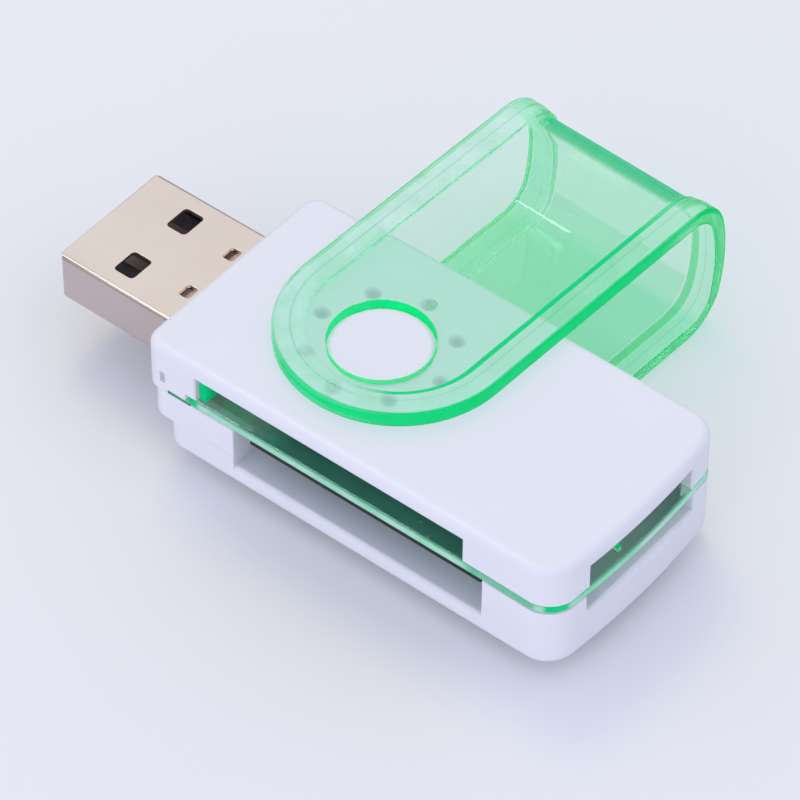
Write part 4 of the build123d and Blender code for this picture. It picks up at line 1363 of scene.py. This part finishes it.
    def hole_rings(self, mesh: bmesh.types.BMesh, loop: list[bmesh.types.BMVert], along: float,
                   levels: Iterable[Point2]) -> list[list]:
        """Rings of the pivot hole, with one vertex for each vertex of the loop round it.

        Args:
            mesh: The mesh to add to.
            loop: The loop of the patch.
            along: Place of the hole's middle along the strip.
            levels: Distance past the hole's wall and lift of each ring.

        Returns:
            The rings of vertices.
        """
        centre = self.bend(0.0, along, 0.0)
        angles = [math.atan2(vertex.co.y - centre.y, vertex.co.x) for vertex in loop]
        rings = []
        for past, lift in levels:
            radius = self.hole_radius + past
            level = self.bend(0.0, along, lift).z
            rings.append([mesh.verts.new((radius * math.cos(angle), centre.y + radius * math.sin(angle), level))
                          for angle in angles])
        return rings

    def build(self, bench: Bench) -> None:
        """Make and dress the cover.

        Args:
            bench: Where it is put together.
        """
        self.measure(bench)
        mesh = light_painted_mesh()
        rings = []
        for inset, lift, zone in self.section():
            rings.append([])
            for x, along in self.ring(inset):
                rings[-1].append(mesh.verts.new(self.bend(x, along, lift)))
                tint(mesh, rings[-1][-1:], *self.glow(zone, x / (self.half_width - inset), along))
        join_rings(mesh, rings)
        outer = self.panel(mesh, rings[0], -self.recess)
        inner = self.panel(mesh, rings[-1], -self.thickness)
        wall = [(inset, -self.recess - drop) for inset, drop in reversed(quarter(self.hole_round, 4))]
        wall += [(inset, drop - self.thickness) for inset, drop in quarter(self.hole_round, 4)]
        for place, top, under in zip((-self.tip, self.run + self.tip), outer, inner):
            hole = self.hole_rings(mesh, top, place, wall)
            # painted green glow on the hole's wall
            for ring in hole[1:-1]:
                tint(mesh, ring, self.hole_glow_colour, self.hole_glow_share)
            join_rings(mesh, [top] + hole + [under])
        turn = Matrix.Rotation(math.radians(self.turn), 4, "Z")
        mesh.transform(turn)
        piece = bench.mount(mesh, "clear_cover")
        nubs = bmesh.new()
        under_arm = self.height - self.thickness
        profile = [(self.nub_radius - inset, under_arm - self.nub_height + drop)
                   for inset, drop in quarter(self.nub_height, 4)[::-1]]
        profile.append((self.nub_radius, under_arm + self.recess))
        for side in (-1, 1):
            lathe(nubs, profile, (0.0, side * self.detent_circle / 2), self.nub_steps)
        nubs.transform(turn)
        bench.carve(piece, nubs, Carve.ADD)
        bench.finish(piece, Finish.CLEAR_COVER, "cover", "swivel_cover", "clear_green_cover", crease=60.0)


@dataclass
class Inside:
    """Solids of the frame that keep their shape and only get a finish."""

    finishes: tuple[tuple[str, Finish], ...] = (
        ("circuit_board", Finish.BOARD_MASK),
        ("crystal", Finish.CAN_METAL),
        ("usb_tongue", Finish.TONGUE_MOULDING),
        ("indicator_led", Finish.LAMP_LENS),
    )
    replaced: tuple[str, ...] = ("top_shell", "bottom_shell", "swivel_cover", "middle_plate", "usb_shell")

    def build(self, bench: Bench) -> None:
        """Dress every solid that nothing stands for."""
        named = dict(self.finishes)
        for node in bench.frame["nodes"]:
            if node in self.replaced:
                continue
            plain = Finish.SPRING_GOLD if "contact" in node else Finish.BLACK_MOULDING
            plain = Finish.DULL_CONTACT if node.startswith("usb_contact") else plain
            bench.dress(node, named.get(node, plain))


@dataclass(frozen=True)
class Lamp:
    """A round area lamp that either lights surfaces or only shows in their gloss."""

    name: str
    place: tuple[float, float, float]
    size: float
    power: float
    colour: Colour
    glossy: bool = False

    def build(self, bench: Bench, target: Vector) -> None:
        """Hang the lamp and point it at a target.

        Args:
            bench: Where the pieces are put together.
            target: The point in the shared frame.
        """
        light = bpy.data.lights.new(self.name, "AREA")
        light.shape = "DISK"
        light.size = self.size * MM
        light.energy = self.power
        light.color = self.colour
        lamp = add_object(self.name, light)
        lamp.location = bench.to_frame @ Vector(self.place)
        lamp.rotation_euler = (lamp.location - target).to_track_quat("Z", "Y").to_euler()
        lamp.visible_glossy = self.glossy
        lamp.visible_diffuse = not self.glossy
        lamp.visible_transmission = False


@dataclass
class Studio:
    """Floor, light and camera."""

    azimuth: float = 38.71
    elevation: float = 46.38
    roll: float = 0.28
    distance: float = 389.5
    target: tuple[float, float, float] = (1.56, 0.34, 7.5)
    lens: float = 227.1
    clip_start: float = 10.0
    bounces: int = 32
    floor_gap: float = 0.02
    floor_radius: float = 4000.0
    floor_sides: int = 64
    floor_roughness: float = 0.7
    floor_specular: float = 0.2
    far_rise: Point2 = (0.05, 0.5)
    floor_colour: Colour = (0.88, 0.88, 0.86)
    floor_reflection_shade: Colour = (0.58, 0.58, 0.64)
    backdrop_colour: Colour = (0.81, 0.84, 0.885)
    horizon_reflection_shade: Colour = (0.16, 0.16, 0.19)
    low_rise: Point2 = (0.05, 0.6)
    world_colour: Colour = (0.75, 0.79, 1.0)
    world_strength: float = 1.0
    lamps: tuple[Lamp, ...] = (
        Lamp("key", (-350.0, 250.0, 700.0), 320.0, 0.9, (1.0, 0.86, 0.15)),
        Lamp("fill", (60.0, -700.0, 230.0), 600.0, 1.0, (0.92, 0.88, 1.0)),
        Lamp("glint", (-350.0, -290.0, 680.0), 130.0, 0.45, (1.0, 1.0, 1.0), glossy=True),
    )

    def build_floor(self) -> None:
        """Lay the pale floor, which shows darker in reflections and darkest towards the horizon: painted shade in
        reflections.
        """
        mesh = bmesh.new()
        bmesh.ops.create_circle(mesh, cap_ends=True, segments=self.floor_sides, radius=self.floor_radius * MM)
        data = bpy.data.meshes.new("floor")
        mesh.to_mesh(data)
        mesh.free()
        floor = add_object("floor", data)
        floor.location.z = -self.floor_gap * MM
        made, graph = new_material("floor_paper", rgba(self.floor_colour))
        mirrored = self.mirrored(graph)
        colour = graph.blend(mirrored, rgba(self.floor_colour), rgba(self.floor_reflection_shade))
        way = graph.add("ShaderNodeSeparateXYZ", {0: graph.add("ShaderNodeNewGeometry").outputs["Incoming"]})
        far = graph.math("MULTIPLY", mirrored, graph.span(way.outputs[2], *self.far_rise, 1.0, 0.0))
        colour = graph.blend(far, colour, rgba(self.horizon_reflection_shade))
        shader = graph.add("ShaderNodeBsdfPrincipled", {
            "Base Color": colour, "Roughness": self.floor_roughness, "Specular IOR Level": self.floor_specular})
        graph.add("ShaderNodeOutputMaterial", {"Surface": shader.outputs[0]})
        data.materials.append(made)

    def mirrored(self, graph: Graph) -> bpy.types.NodeSocket:
        """Whether a ray comes from a reflection."""
        path = graph.add("ShaderNodeLightPath")
        return graph.math("SUBTRACT", path.outputs["Is Glossy Ray"], path.outputs["Is Transmission Ray"])

    def build_light(self, bench: Bench) -> None:
        """Set the world and the lamps.

        Args:
            bench: Where the pieces are put together.
        """
        scene = bpy.context.scene
        world = bpy.data.worlds.new("studio")
        world.use_nodes = True
        graph = Graph(world.node_tree)
        sky = graph.add("ShaderNodeBackground", {"Color": rgba(self.world_colour), "Strength": self.world_strength})
        way = graph.add("ShaderNodeSeparateXYZ", {0: graph.add("ShaderNodeTexCoord").outputs["Generated"]})
        # painted shade in reflections: reflected rays see the backdrop darken towards the horizon
        low = graph.math("MULTIPLY", graph.span(way.outputs[2], *self.low_rise, 1.0, 0.0), self.mirrored(graph))
        backdrop = graph.blend(low, rgba(self.backdrop_colour), rgba(self.horizon_reflection_shade))
        pale = graph.add("ShaderNodeBackground", {"Color": backdrop, "Strength": 1.0})
        path = graph.add("ShaderNodeLightPath")
        seen = graph.math("MAXIMUM", path.outputs["Is Camera Ray"],
                          graph.math("MAXIMUM", path.outputs["Is Glossy Ray"], path.outputs["Is Transmission Ray"]))
        mix = graph.add("ShaderNodeMixShader", {0: seen, 1: sky.outputs[0], 2: pale.outputs[0]})
        graph.add("ShaderNodeOutputWorld", {"Surface": mix.outputs[0]})
        scene.world = world
        for lamp in self.lamps:
            lamp.build(bench, bench.to_frame @ Vector(self.target))
        for kind in ("max", "transmission", "glossy", "transparent_max"):
            setattr(scene.cycles, f"{kind}_bounces", self.bounces)

    def build_camera(self, bench: Bench) -> None:
        """Stand the camera at the photo's angle.

        Args:
            bench: Where the pieces are put together.
        """
        turn, rise = math.radians(self.azimuth), math.radians(self.elevation)
        back = Vector((math.sin(turn) * math.cos(rise), -math.cos(turn) * math.cos(rise), math.sin(rise)))
        data = bpy.data.cameras.new("camera")
        data.lens = self.lens
        data.clip_start = self.clip_start * MM
        camera = add_object("camera", data)
        camera.location = bench.to_frame @ (Vector(self.target) + back * self.distance)
        tilt = Matrix.Rotation(math.radians(self.roll), 4, "Z")
        camera.rotation_euler = (back.to_track_quat("Z", "Y").to_matrix().to_4x4() @ tilt).to_euler()
        bpy.context.scene.camera = camera

    def build(self, bench: Bench) -> None:
        """Make the floor, the light and the camera."""
        bpy.context.scene.view_settings.view_transform = "Standard"
        self.build_floor()
        self.build_light(bench)
        self.build_camera(bench)


def main() -> None:
    """Build every sub-assembly in order."""
    logging.basicConfig(level=logging.INFO, format="%(name)s: %(message)s")
    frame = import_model()
    bench = Bench(frame)
    body = Body()
    for assembly in (body, MiddlePlate(body), Plug(), SwivelCover(), Inside(), Studio()):
        assembly.build(bench)


if __name__ == "__main__":
    main()
